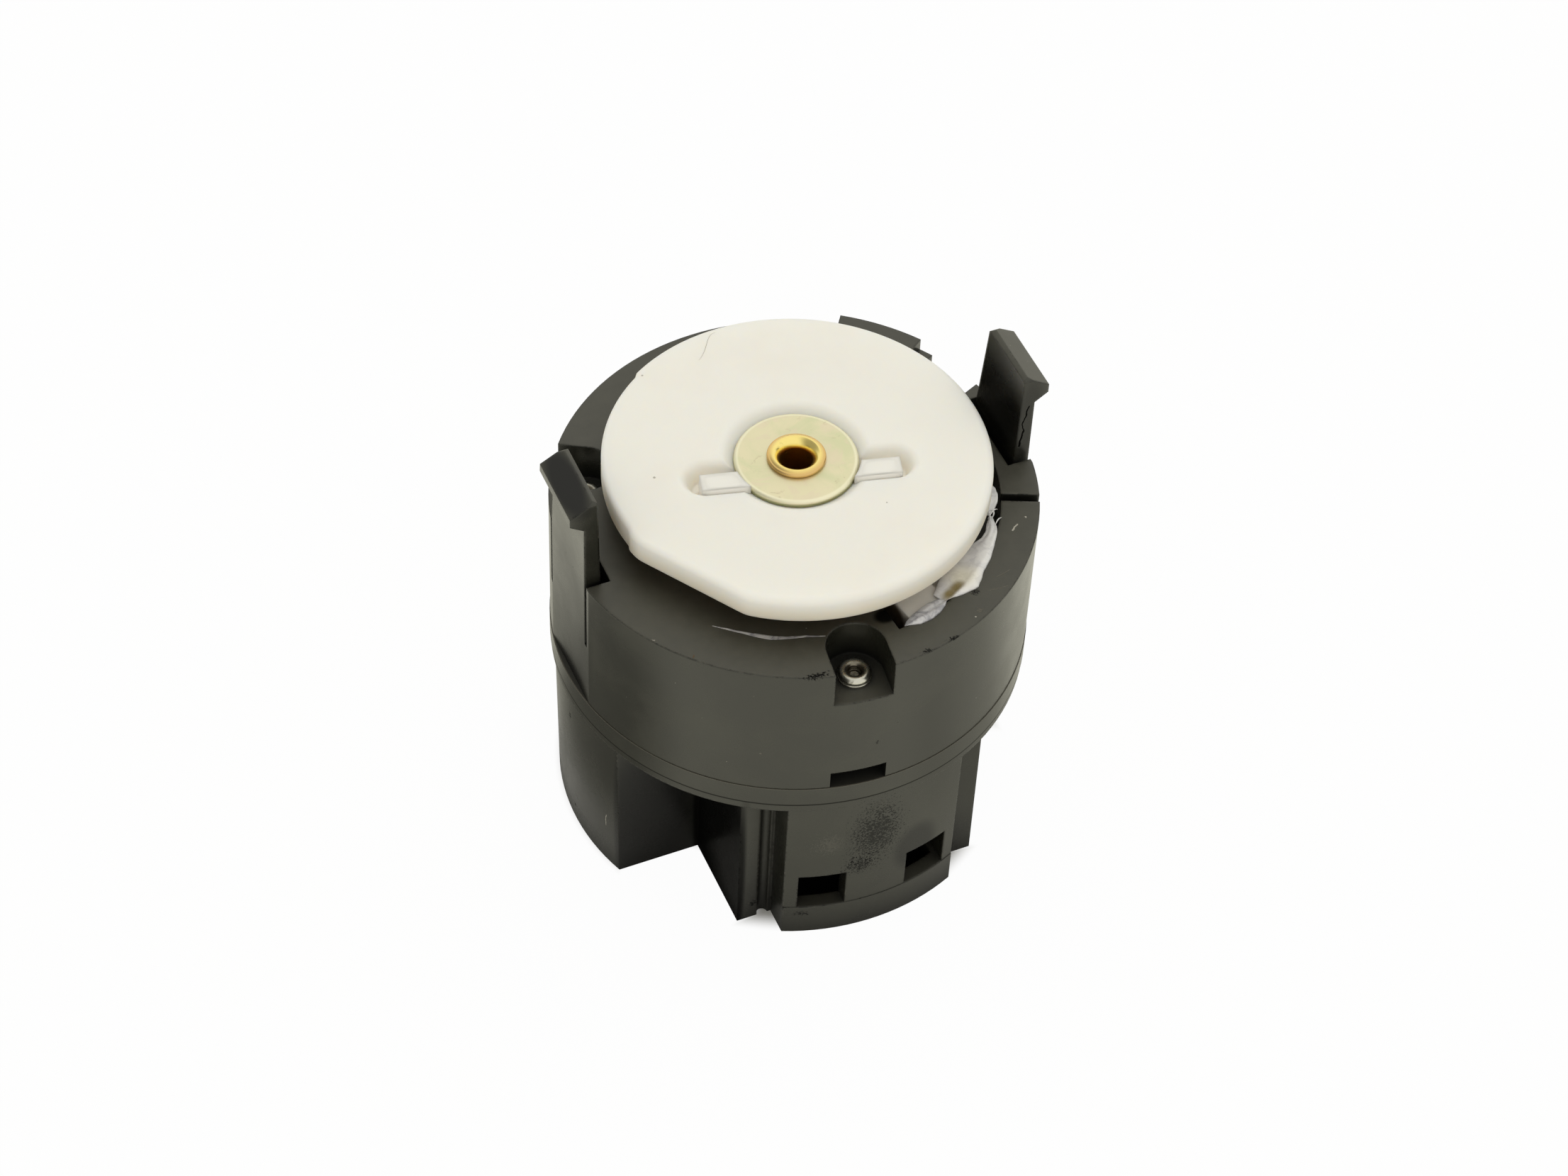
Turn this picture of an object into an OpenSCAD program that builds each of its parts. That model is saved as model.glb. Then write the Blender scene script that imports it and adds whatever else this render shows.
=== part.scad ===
// Ignition switch: a round body with a connector socket below and a turning drive disc on top.
// The Z axis is the axis of rotation and Z = 0 is the mouth of the socket.
// The snap hooks stand on the X axis and the latch wall of the socket faces -Y.

/* [Housing] */
// Outer radius of the round body
housing_r = 19; // [18.6:0.1:20]
// Height of the connector housing, from the socket mouth to the terminal plate
connector_h = 16.3; // [15:0.1:20]
// Thickness of the terminal plate
plate_t = 1.9; // [1.6:0.1:2.6]
// How far the terminal plate stands out past the body
plate_lip = 0.06; // [0:0.02:0.2]
// Height of the upper housing, from the terminal plate to its rim
upper_h = 13.1; // [12.4:0.1:15]
// Distance from the outside of the body to the chamber that the rotor turns in
chamber_wall = 5.8; // [5.4:0.05:6]
// Thickness of the roof over the chamber
roof_t = 3.7; // [3.5:0.1:4.2]

/* [Rim features] */
// Angles of the three rivets round the body
rivet_angles = [-97, 24, 150]; // [-180:1:180]
// Distance from the outside of the body to the middle of a rivet
rivet_inset = 2.6; // [2.4:0.05:2.8]
// Width of each rivet pocket
pocket_w = 4.66; // [4:0.02:5]
// Depth of each rivet pocket below the rim
pocket_depth = 3.4; // [2.8:0.1:3.5]
// Radius of a rivet's shank
rivet_r = 0.95; // [0.8:0.05:1.1]
// Radius of a rivet's rolled head
rivet_head_r = 1.3; // [1.25:0.05:1.5]
// Width of the rim outside the opening that the stop lobe runs in
rim_w = 3; // [2.7:0.05:3.2]
// Angle at which the lobe opening starts
opening_start = -84; // [-85:0.5:-83]
// Angle at which the lobe opening ends
opening_end = 13; // [12.5:0.5:15]
// First angle of the raised lug on the rim
lug_start = 34.5; // [33.5:0.5:40]
// Last angle of the raised lug on the rim
lug_end = 55.5; // [50:0.5:70]
// Height of the raised lug
lug_h = 1.15; // [0.5:0.05:1.8]
// Radial width of the raised lug
lug_w = 2.2; // [1.5:0.1:2.8]
// How far the lug is set in from the outside of the body
lug_inset = 0.05; // [0.03:0.01:0.3]
// Angle of the slit across the rim
slit_angle = -23.5; // [-40:0.5:-18]
// Width of the slit
slit_w = 0.75; // [0.4:0.05:1.2]
// Depth of the slit
slit_depth = 0.9; // [0.4:0.1:1.5]
// Width of the slot at the foot of the wall, below the first rivet pocket
foot_slot_w = 4.45; // [3:0.05:6]
// Height of that slot
foot_slot_h = 1.7; // [1:0.1:2.5]
// Depth of that slot into the wall
foot_slot_depth = 1.3; // [0.8:0.1:1.4]

/* [Snap hooks] */
// How far the hooks' outer faces are set in from the outside of the body
hook_inset = 0.4; // [0.2:0.05:0.6]
// Thickness of a hook's arm at its foot
hook_t = 1.45; // [1.3:0.05:1.6]
// Thickness of a hook's arm below its nose
hook_tip_t = 1.1; // [0.9:0.05:1.2]
// Width of a hook's arm at its top
hook_w = 6.2; // [5:0.1:6.4]
// How much wider the arm is at the rim, all on the side that faces +Y
hook_flare = 0.7; // [0:0.05:0.8]
// Height of the hooks above the rim
hook_h = 8.6; // [7:0.1:10]
// How far a hook's nose stands out from its arm
nose_out = 1.1; // [0.6:0.05:1.4]
// Height of the nose's outer face
nose_face_h = 0.8; // [0.5:0.1:1.2]
// Drop of the sloped top from the arm's inner edge to the nose
nose_slope_h = 1.15; // [0.8:0.05:1.6]
// Drop of the nose's underside from its face to the arm
nose_under_h = 0.75; // [0.3:0.05:1.2]
// Chamfer of the head's upper corners
hook_chamfer = 0.3; // [0.1:0.05:0.6]
// Gap between the arm and the notch on each side
hook_side_gap = 0.4; // [0.3:0.05:0.6]
// Gap behind the arm that lets it bend
hook_back_gap = 0.5; // [0.4:0.05:0.6]
// Depth of the notch round the arm, below the rim
hook_notch_depth = 6.8; // [5:0.1:8]

/* [Connector] */
// How far the connector housing is set in from the outside of the body, below its flange
base_inset = 0.3; // [0.2:0.05:0.4]
// How much smaller the connector housing is at the socket mouth
base_draft = 0.25; // [0:0.05:0.4]
// Thickness of the flange under the terminal plate
flange_t = 0.75; // [0.6:0.05:1]
// Half width of the middle block that stands between the corner notches
block_x = 10.3; // [10.1:0.1:10.8]
// Distance of the front-left notch from the axis
left_notch_y = 6.8; // [6:0.1:7]
// Where the front-right notch ends, measured along Y
right_notch_y = 2; // [1:0.1:2.4]
// Distance of the flat front shoulders from the axis
shoulder_y = 15.1; // [15:0.05:15.4]
// How far the top of the latch wall is set in from the outside of the body
latch_inset = 0.03; // [0.02:0.01:0.1]
// How much smaller the latch wall is at the socket mouth
latch_draft = 0.17; // [0:0.01:0.2]
// Width of the latch wall
latch_w = 14.8; // [14.4:0.1:15.2]
// Radius of the grooves that run up the shoulders beside the latch wall
groove_r = 0.45; // [0.3:0.05:0.6]
// Width of the rib between a groove and the latch wall
groove_rib_w = 0.3; // [0.2:0.05:0.5]
// Thickness of the latch wall
latch_t = 1.15; // [1:0.05:1.25]
// Width of each latch window
window_w = 3.75; // [3:0.05:4]
// Space between the two latch windows
window_gap = 5.2; // [4.8:0.1:5.4]
// Height of the latch windows
window_h = 3.9; // [3:0.1:4.5]
// Height of the latch windows above the socket mouth
window_z = 3.1; // [2.6:0.1:3.6]
// How far the foot of the latch wall stands out below the windows
latch_foot_out = 0.08; // [0:0.02:0.1]
// Depth of the socket
socket_depth = 12; // [11:0.1:13]
// Wall thickness of the connector housing
socket_wall = 1.5; // [1.2:0.1:1.6]

/* [Terminals] */
// Distance of the two rows of blades from the middle of the socket
row_y = 6.8; // [6.6:0.1:7]
// Spacing of the three blades in the front row
front_pitch = 5.4; // [5:0.1:5.6]
// Spacing of the four blades in the back row
back_pitch = 4.6; // [4.4:0.1:4.7]
// Width of a blade
blade_w = 4.8; // [4:0.1:5]
// Thickness of a blade
blade_t = 0.8; // [0.6:0.05:0.9]
// How far the blades' tips stay inside the socket mouth
blade_inset = 2.5; // [1.5:0.1:5]
// Chamfer of a blade's tip
blade_chamfer = 0.9; // [0.5:0.1:1.2]
// Width of the neck that passes through the deck
neck_w = 2.4; // [2:0.1:2.6]
// Thickness of the contact pads
pad_t = 0.5; // [0.4:0.05:0.7]
// Inner radius of the contact pads
pad_inner_r = 5.2; // [5:0.1:5.4]
// Distance from the wall of the chamber to the contact pads
pad_gap = 1.8; // [1.4:0.1:2.2]
// Angle that a front pad covers
front_pad_angle = 29; // [27:1:32]
// Angle that a back pad covers
back_pad_angle = 21; // [20:1:22]

/* [Drive disc] */
// How far the drive disc is set in from the outside of the body
disc_inset = 3.85; // [3.7:0.05:4.4]
// Thickness of the drive disc
disc_t = 2.4; // [1.8:0.05:3]
// Height of the disc's underside above the rim
disc_gap = 1.7; // [1.6:0.1:3]
// Rounding of the disc's top edge
disc_round = 0.4; // [0.3:0.05:0.9]
// Depth of the flat on the disc's edge
disc_flat_depth = 0.8; // [0.5:0.05:1.4]
// Angle of the disc's flat
disc_flat_angle = -146.5; // [-160:0.5:-130]
// How much smaller the disc is over its relieved sector
disc_relief = 0.2; // [0.1:0.05:0.3]
// First angle of the relieved sector
relief_start = 123; // [110:1:140]
// Last angle of the relieved sector
relief_end = 190; // [180:1:192]
// Radius of the well round the washer
well_r = 5.5; // [5.3:0.05:5.8]
// Depth of the well
well_depth = 0.85; // [0.7:0.05:1]
// Rounding of the well's edge
well_round = 0.5; // [0.3:0.05:0.6]

/* [Drive tangs] */
// Angle of the line that the drive tangs lie along
tang_angle = -14; // [-30:1:10]
// Distance of that line from the axis
tang_offset = 2.2; // [2:0.05:2.4]
// Width of a tang
tang_w = 1.65; // [1.4:0.05:1.9]
// Distance of a tang's outer end from the axis, along the line
tang_reach = 7.75; // [7.4:0.05:8]
// Gap between the tangs and the edge of the washer
washer_gap = 0.16; // [0.1:0.02:0.3]
// How far the tangs stand out of the disc
tang_out = 0.2; // [0.1:0.05:0.5]
// Distance of the far end of a tang window from the axis
window_reach = 8.8; // [8.4:0.1:9.2]
// Width of a tang window
tang_window_w = 3.3; // [3:0.05:3.5]
// Gap between a tang and the front of its window
tang_gap = 0.3; // [0.2:0.05:0.4]

/* [Rotor] */
// Gap between the rotor's flange and the wall of the chamber
flange_gap = 0.3; // [0.2:0.05:0.6]
// Height of the flange above the terminal plate
flange_up = 4.2; // [3.9:0.1:4.8]
// Radius of the neck that passes through the roof
neck_r = 8.2; // [7.9:0.05:8.4]
// Radius of the hub that turns on the terminal plate
hub_r = 3.5; // [3.2:0.1:3.8]
// Gap between the stop lobe and the outer wall of its opening
lobe_gap = 0.5; // [0.3:0.05:0.8]
// First angle of the stop lobe
lobe_start = -78.5; // [-79:0.5:-78]
// Last angle of the stop lobe
lobe_end = -64; // [-66:0.5:-64]
// How far the lobe's top lies below the rim
lobe_drop = 0.4; // [0.2:0.1:0.8]
// Thickness of the stop lobe
lobe_t = 2.5; // [2:0.1:2.8]
// Running gap between turning and fixed pieces
run_gap = 0.05; // [0.03:0.01:0.08]
// Gap between the flange and the roof
roof_gap = 0.3; // [0.2:0.05:0.4]
// Gap round the neck where it passes through the roof
neck_gap = 0.3; // [0.2:0.05:0.5]

/* [Eyelet and washer] */
// Outer radius of the retaining washer
washer_r = 4.84; // [4.4:0.02:5]
// Thickness of the retaining washer
washer_t = 0.5; // [0.3:0.05:0.6]
// Outer radius of the eyelet's barrel
eyelet_r = 1.6; // [1.5:0.02:1.8]
// Radius of the eyelet's bore
eyelet_bore_r = 1.24; // [1.1:0.02:1.3]
// Outer radius of the eyelet's rolled flange
eyelet_flange_r = 2.3; // [2.2:0.05:2.6]
// Thickness of the rolled flange
eyelet_roll = 0.5; // [0.4:0.05:0.6]
// Depth of the flare at the mouth of the bore
flare_depth = 0.7; // [0.5:0.05:1]
// Thickness of the eyelet's foot below the terminal plate
foot_t = 0.4; // [0.3:0.05:0.5]

/* [Contacts and detents] */
// Gap between the contact plate and the wall of the chamber
contact_gap = 1.2; // [0.8:0.05:1.4]
// Thickness of the contact plate
contact_t = 0.6; // [0.5:0.05:0.8]
// Distance from the outside of the contact pads to the middle of a contact bump
bump_inset = 2.4; // [2:0.1:2.8]
// Height of a contact bump below the plate
bump_h = 0.7; // [0.5:0.05:0.8]
// Radius of the ball that forms a contact bump
bump_ball_r = 1.3; // [1.2:0.05:1.6]
// Angle of the first contact bump
bump_angle = 100; // [90:1:110]
// Width of the rotor's lugs that carry the contact plate round
carrier_w = 2.4; // [2:0.1:2.8]
// Radial length of those lugs
carrier_len = 1.6; // [1.2:0.1:1.8]
// Gap between a lug and its notch in the contact plate
carrier_gap = 0.15; // [0.1:0.01:0.2]
// Mean radius of the contact spring
contact_spring_r = 5.4; // [5:0.1:6]
// Radius of the contact spring's wire
contact_wire_r = 0.35; // [0.25:0.05:0.4]
// Angles of the two detent plungers
detent_angles = [50, 170]; // [0:1:180]
// Angle between one key position and the next
key_step = 25; // [23:0.5:25]
// Angle that the rotor turns from rest to the starting position
full_turn = 76; // [70:0.5:76]
// Angle that the rotor turns back from rest to its other stop
back_turn = 4.5; // [3:0.5:4.5]
// Distance from the wall of the chamber to the middle of a detent plunger
detent_inset = 2.5; // [2.3:0.05:2.8]
// Radius of a detent plunger
detent_r = 1.25; // [1.1:0.05:1.3]
// Length of a detent plunger
detent_len = 2.1; // [1.9:0.1:2.4]
// Gap between a plunger's tip and the roof when it is held in
detent_tip_gap = 0.1; // [0.05:0.05:0.2]
// Travel of a detent plunger into its hole in the roof
detent_travel = 0.5; // [0.4:0.05:0.6]
// Gap round a plunger's tip in its hole in the roof
detent_hole_gap = 0.15; // [0.1:0.05:0.25]
// Length of a detent spring when the plunger is held in
detent_spring_len = 2; // [1.6:0.1:2.4]
// Radius of a detent spring's wire
detent_wire_r = 0.18; // [0.14:0.02:0.2]

/* [Hidden] */
$fn = 96;

// Overlap that keeps a cut clear of the face it goes through
cut = 0.5;
// Reach of a cut that goes past the outside of the body
beyond = 2 * housing_r;
// Side gap between pieces that seat in each other and don't move
seat_gap = 0.04;
ball_fn = 64;

chamber_r = housing_r - chamber_wall;
rivet_circle_r = housing_r - rivet_inset;
opening_r = housing_r - rim_w;
hook_d = housing_r - hook_inset;
base_r = housing_r - base_inset;
latch_r = housing_r - latch_inset;
latch_mouth_r = latch_r - latch_draft;
latch_inner_r = latch_mouth_r - latch_t;
disc_r = housing_r - disc_inset;
disc_flat_d = disc_r - disc_flat_depth;
flange_r = chamber_r - flange_gap;
lobe_r = opening_r - lobe_gap;
roof_hole_r = neck_r + neck_gap;
contact_r = chamber_r - contact_gap;
pad_outer_r = chamber_r - pad_gap;
bump_circle_r = pad_outer_r - bump_inset;
detent_circle_r = chamber_r - detent_inset;
tang_inner_r = washer_r + washer_gap;

plate_z = connector_h;
chamber_z = plate_z + plate_t;
rim_z = chamber_z + upper_h;
roof_z = rim_z - roof_t;
pocket_z = rim_z - pocket_depth;
disc_z = rim_z + disc_gap;
disc_top = disc_z + disc_t;
well_z = disc_top - well_depth;
washer_z = well_z + run_gap;
washer_top = washer_z + washer_t;
hook_top = rim_z + hook_h;
deck_z = socket_depth;
flange_bottom = plate_z - flange_t;
rotor_flange_z = chamber_z + flange_up;
rotor_flange_top = roof_z - roof_gap;
lobe_top = rim_z - lobe_drop;
contact_z = chamber_z + run_gap + bump_h;
contact_top = contact_z + contact_t;
detent_tip_z = roof_z - detent_tip_gap;
detent_foot_z = detent_tip_z - detent_len;
// Each hook: its angle, and the sign of its own Y on the side that faces +Y
hook_sides = [[0, 1], [180, -1]];
eyelet_foot_r = eyelet_flange_r;
detent_stations = [-back_turn, 0, key_step, 2 * key_step, full_turn];

black_plastic = "#3a3832";
ivory_plastic = "#ece9de";
zinc_yellow = "#ded6b2";
brass_yellow = "#d8b25a";
bright_steel = "#c9c7c0";
contact_copper = "#b87a4b";

// A ring segment between two radii and two angles
module sector(inner_r, outer_r, first, last, h) {
    rotate([0, 0, first])
        rotate_extrude(angle = last - first)
            translate([inner_r, 0])
                square([outer_r - inner_r, h]);
}

// Children placed at each rivet, with +X pointing outwards
module at_rivets() {
    for (angle = rivet_angles)
        rotate([0, 0, angle])
            translate([rivet_circle_r, 0, 0])
                children();
}

// A round wire wound into a coil that stands on Z = 0
function coil_point(mean_r, wire_r, turns, h, i, steps) =
    [mean_r * cos(360 * turns * i / steps),
     mean_r * sin(360 * turns * i / steps),
     wire_r + (h - 2 * wire_r) * i / steps];

module coil(mean_r, wire_r, turns, h) {
    steps = ceil(turns * 20);
    sides = 8;
    points = [for (i = [0:steps], s = [0:sides - 1])
        let (p = coil_point(mean_r, wire_r, turns, h, i, steps),
             a = 360 * turns * i / steps,
             out = wire_r * cos(360 * s / sides))
        [p.x + out * cos(a), p.y + out * sin(a), p.z + wire_r * sin(360 * s / sides)]];
    walls = [for (i = [0:steps - 1], s = [0:sides - 1])
        [i * sides + s, i * sides + (s + 1) % sides,
         (i + 1) * sides + (s + 1) % sides, (i + 1) * sides + s]];
    first_cap = [for (s = [sides - 1:-1:0]) s];
    last_cap = [for (s = [0:sides - 1]) steps * sides + s];
    polyhedron(points, concat(walls, [first_cap, last_cap]), convexity = 8);
}

// Upper housing

// A stadium pocket that is open to the outside
module rivet_pocket() {
    translate([0, 0, pocket_z])
        cylinder(d = pocket_w, h = pocket_depth + cut);
    translate([0, -pocket_w / 2, pocket_z])
        cube([beyond, pocket_w, pocket_depth + cut]);
}

// The side view of a hook, with X as the distance from the axis and Y as the height
module hook_profile() {
    root = rim_z - hook_notch_depth - cut;
    inner = hook_d - hook_tip_t;
    tip = hook_d + nose_out;
    polygon([[hook_d - hook_t, root], [hook_d, root],
        [hook_d, hook_top - nose_slope_h - nose_face_h - nose_under_h],
        [tip, hook_top - nose_slope_h - nose_face_h],
        [tip, hook_top - nose_slope_h],
        [inner + hook_tip_t / 3, hook_top], [inner, hook_top - hook_tip_t / 6]]);
}

// The front view of a hook, with its flare on the side given by back, 1 or -1
module hook_outline(back) {
    half = hook_w / 2;
    corner = half - hook_chamfer;
    polygon([[-back * half, 0], [back * (half + hook_flare), 0], [back * (half + hook_flare), rim_z],
        [back * half, hook_top - hook_chamfer], [back * corner, hook_top],
        [-back * corner, hook_top], [-back * half, hook_top - hook_chamfer]]);
}

module hook(back) {
    intersection() {
        rotate([90, 0, 0])
            linear_extrude(hook_w + 2 * hook_flare, center = true)
                hook_profile();
        rotate([90, 0, 90])
            linear_extrude(beyond)
                hook_outline(back);
    }
}

// The space round a hook's arm and the flat above its foot
module hook_clearance(back) {
    width = hook_w + hook_flare + 2 * hook_side_gap;
    middle = back * hook_flare / 2;
    translate([hook_d - hook_t - hook_back_gap, middle - width / 2, rim_z - hook_notch_depth])
        cube([beyond, width, hook_notch_depth + cut]);
    translate([hook_d, -housing_r, chamber_z - cut])
        cube([beyond, 2 * housing_r, upper_h + 2 * cut]);
}

// Blind holes in the roof whose edges the domed detent plungers spring into
module detent_holes() {
    entry = detent_travel - detent_tip_gap;
    hole_r = sqrt(detent_r ^ 2 - (detent_r - entry) ^ 2) + detent_hole_gap;
    for (plunger = detent_angles, station = detent_stations)
        rotate([0, 0, plunger + station])
            translate([detent_circle_r, 0, roof_z - cut])
                cylinder(r = hole_r, h = entry + detent_hole_gap + cut);
}

module upper_housing() {
    color(black_plastic)
    union() {
        difference() {
            translate([0, 0, chamber_z])
                cylinder(r = housing_r, h = upper_h);
            translate([0, 0, chamber_z - cut])
                cylinder(r = chamber_r, h = upper_h - roof_t + cut);
            translate([0, 0, roof_z - cut])
                cylinder(r = roof_hole_r, h = roof_t + 2 * cut);
            translate([0, 0, roof_z - cut])
                sector(hub_r, opening_r, opening_start, opening_end, roof_t + 2 * cut);
            at_rivets() {
                rivet_pocket();
                translate([0, 0, chamber_z - cut])
                    cylinder(r = rivet_r + seat_gap, h = upper_h);
            }
            for (side = hook_sides)
                rotate([0, 0, side[0]])
                    hook_clearance(side[1]);
            rotate([0, 0, slit_angle])
                translate([opening_r - cut, -slit_w / 2, rim_z - slit_depth])
                    cube([beyond, slit_w, slit_depth + cut]);
            rotate([0, 0, rivet_angles[0]])
                translate([housing_r - foot_slot_depth, -foot_slot_w / 2, chamber_z - cut])
                    cube([beyond, foot_slot_w, foot_slot_h + cut]);
            detent_holes();
        }
        translate([0, 0, rim_z - cut])
            sector(housing_r - lug_inset - lug_w, housing_r - lug_inset, lug_start, lug_end, lug_h + cut);
        for (side = hook_sides)
            rotate([0, 0, side[0]])
                hook(side[1]);
    }
}

// Terminal plate and terminals

// Where a blade stands and how wide its contact pad is: [x, y, span of the pad]
function front_blade(i) = [(i - 1) * front_pitch, -row_y, front_pad_angle];
function back_blade(i) = [(i - 1.5) * back_pitch, row_y, back_pad_angle];
blades = concat([for (i = [0:2]) front_blade(i)], [for (i = [0:3]) back_blade(i)]);

// The contact pad over a blade, with an extra gap all round
module pad(blade, gap) {
    middle = atan2(blade.y, blade.x);
    swing = blade.z / 2 + gap * 360 / (2 * PI * pad_inner_r);
    sector(pad_inner_r - gap, pad_outer_r + gap, middle - swing, middle + swing, pad_t + cut);
}

// The neck that carries a pad, with an extra gap all round
module neck(blade, gap, h) {
    translate([blade.x - blade_t / 2 - gap, blade.y - neck_w / 2 - gap, 0])
        cube([blade_t + 2 * gap, neck_w + 2 * gap, h]);
}

module blade_outline() {
    half = blade_w / 2;
    tip = blade_inset;
    polygon([[-half, deck_z], [-half, tip + blade_chamfer], [-half + blade_chamfer, tip],
        [half - blade_chamfer, tip], [half, tip + blade_chamfer], [half, deck_z]]);
}

module terminal(blade) {
    color(brass_yellow)
    union() {
        translate([0, 0, chamber_z - pad_t])
            intersection() {
                pad(blade, 0);
                cylinder(r = beyond, h = pad_t);
            }
        translate([0, 0, deck_z])
            neck(blade, 0, chamber_z - pad_t - deck_z);
        translate([blade.x, blade.y, 0])
            rotate([90, 0, 90])
                linear_extrude(blade_t, center = true)
                    blade_outline();
    }
}

module terminal_plate() {
    color(black_plastic)
    difference() {
        translate([0, 0, plate_z])
            cylinder(r = housing_r + plate_lip, h = plate_t);
        for (blade = blades) {
            translate([0, 0, chamber_z - pad_t])
                pad(blade, seat_gap);
            translate([0, 0, plate_z - cut])
                neck(blade, seat_gap, plate_t + 2 * cut);
        }
        at_rivets()
            translate([0, 0, plate_z - cut])
                cylinder(r = rivet_r + seat_gap, h = plate_t + 2 * cut);
        translate([0, 0, plate_z - cut])
            cylinder(r = eyelet_r + seat_gap, h = plate_t + 2 * cut);
    }
}

// Connector housing

// Everything in front of a line across the body, over a width and a height
module front_cut(first_x, last_x, y, h) {
    translate([first_x, -beyond, -cut])
        cube([last_x - first_x, beyond + y, h + cut]);
}

module connector_outside() {
    translate([0, 0, flange_bottom])
        cylinder(r = housing_r, h = flange_t);
    difference() {
        cylinder(r1 = base_r - base_draft, r2 = base_r, h = flange_bottom);
        front_cut(-beyond, -block_x, -left_notch_y, flange_bottom);
        front_cut(block_x, beyond, right_notch_y, flange_bottom);
        front_cut(-beyond, beyond, -shoulder_y, flange_bottom);
        shoulder_grooves();
    }
    intersection() {
        union() {
            cylinder(r1 = latch_mouth_r, r2 = latch_r, h = flange_bottom);
            cylinder(r = latch_mouth_r + latch_foot_out, h = window_z);
        }
        translate([-latch_w / 2, -beyond, 0])
            cube([latch_w, beyond, flange_bottom]);
    }
}

// Round grooves in the shoulders, each leaving a thin rib beside the latch wall
module shoulder_grooves() {
    for (side = [-1, 1])
        translate([side * (latch_w / 2 + groove_rib_w + groove_r), -shoulder_y, -cut])
            cylinder(r = groove_r, h = flange_bottom + 2 * cut);
}

// The socket with its latch channel, and the two side chambers, all open at the mouth
module connector_hollows() {
    inside_x = block_x - socket_wall;
    inside_r = base_r - base_draft - socket_wall;
    depth = deck_z + cut;
    translate([0, 0, -cut]) {
        translate([-inside_x, -shoulder_y + socket_wall, 0])
            cube([2 * inside_x, 2 * (shoulder_y - socket_wall), depth]);
        intersection() {
            cylinder(r = latch_inner_r, h = depth);
            translate([-latch_w / 2 + socket_wall, -beyond, 0])
                cube([latch_w - 2 * socket_wall, beyond, depth]);
        }
        intersection() {
            cylinder(r = inside_r, h = depth);
            union() {
                translate([-beyond, -left_notch_y + socket_wall, 0])
                    cube([beyond - block_x, beyond, depth]);
                translate([block_x, right_notch_y + socket_wall, 0])
                    cube([beyond, beyond, depth]);
            }
        }
    }
}

module latch_windows() {
    for (side = [-1, 1])
        translate([side * (window_gap + window_w) / 2 - window_w / 2, -beyond, window_z])
            cube([window_w, beyond - shoulder_y + socket_wall, window_h]);
}

module connector_housing() {
    color(black_plastic)
    difference() {
        connector_outside();
        connector_hollows();
        latch_windows();
        for (blade = blades)
            translate([0, 0, deck_z - cut])
                neck(blade, seat_gap, plate_z);
        at_rivets() {
            translate([0, 0, deck_z - cut])
                cylinder(r = rivet_r + seat_gap, h = plate_z);
            translate([0, 0, deck_z - cut])
                cylinder(r = rivet_head_r + seat_gap, h = rivet_head_r / 2 + cut);
        }
        translate([0, 0, plate_z - 2 * foot_t])
            cylinder(r = eyelet_foot_r + seat_gap, h = plate_z);
    }
}

// Rivets, eyelet and washer

// A hollow rivet with a rolled head in its pocket and a flat head under the deck
module rivet() {
    roll = (rivet_head_r - rivet_r / 2) / 2;
    rotate_extrude() {
        translate([0, deck_z])
            square([rivet_head_r, rivet_head_r / 2]);
        translate([0, deck_z])
            square([rivet_r, pocket_z - deck_z]);
        translate([rivet_r / 2, pocket_z])
            square([2 * roll, roll / 2]);
        translate([rivet_r / 2 + roll, pocket_z + roll])
            circle(roll, $fn = ball_fn);
    }
    translate([0, 0, pocket_z])
        cylinder(r = rivet_r / 3, h = roll / 2);
}

module housing_rivets() {
    color(bright_steel)
    at_rivets()
        rivet();
}

module retaining_washer() {
    color(zinc_yellow)
    translate([0, 0, washer_z])
        difference() {
            cylinder(r = washer_r, h = washer_t);
            translate([0, 0, -cut])
                cylinder(r = eyelet_r + seat_gap, h = washer_t + 2 * cut);
        }
}

// A brass tube, flared and rolled over the washer and turned out under the terminal plate
module centre_eyelet() {
    foot_z = plate_z - foot_t;
    roll_r = eyelet_roll / 2;
    mouth = washer_top + eyelet_roll;
    color(brass_yellow)
    difference() {
        rotate_extrude() {
            translate([0, foot_z])
                square([eyelet_r, washer_top - foot_z + roll_r]);
            translate([0, foot_z])
                square([eyelet_foot_r, foot_t]);
            translate([0, washer_top])
                square([eyelet_flange_r - roll_r, eyelet_roll]);
            translate([eyelet_flange_r - roll_r, washer_top + roll_r])
                circle(roll_r, $fn = ball_fn);
        }
        translate([0, 0, foot_z - cut])
            cylinder(r = eyelet_bore_r, h = mouth - foot_z + 2 * cut);
        translate([0, 0, mouth - flare_depth])
            cylinder(r1 = eyelet_bore_r, r2 = eyelet_r + roll_r / 2, h = flare_depth + run_gap);
    }
}

// Drive disc

// Half the section of the disc out to a given radius, with the well round the washer
module disc_section(outer_r) {
    inner_r = well_r + well_round;
    square([outer_r, disc_t - well_depth]);
    translate([well_r, 0])
        square([outer_r - well_r, disc_t - disc_round]);
    translate([well_r, 0])
        square([well_round, disc_t - well_round]);
    translate([inner_r, disc_t - well_round])
        circle(well_round);
    translate([inner_r, 0])
        square([outer_r - disc_round - inner_r, disc_t]);
    translate([outer_r - disc_round, disc_t - disc_round])
        circle(disc_round);
}

// What is left over between a square corner and its rounding
module corner_waste(r) {
    step = 15;
    polygon(concat([for (a = [0:step:90]) [r * sin(a) - r, r * cos(a) - r]],
        [[cut, -r], [cut, cut], [-r, cut]]));
}

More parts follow.
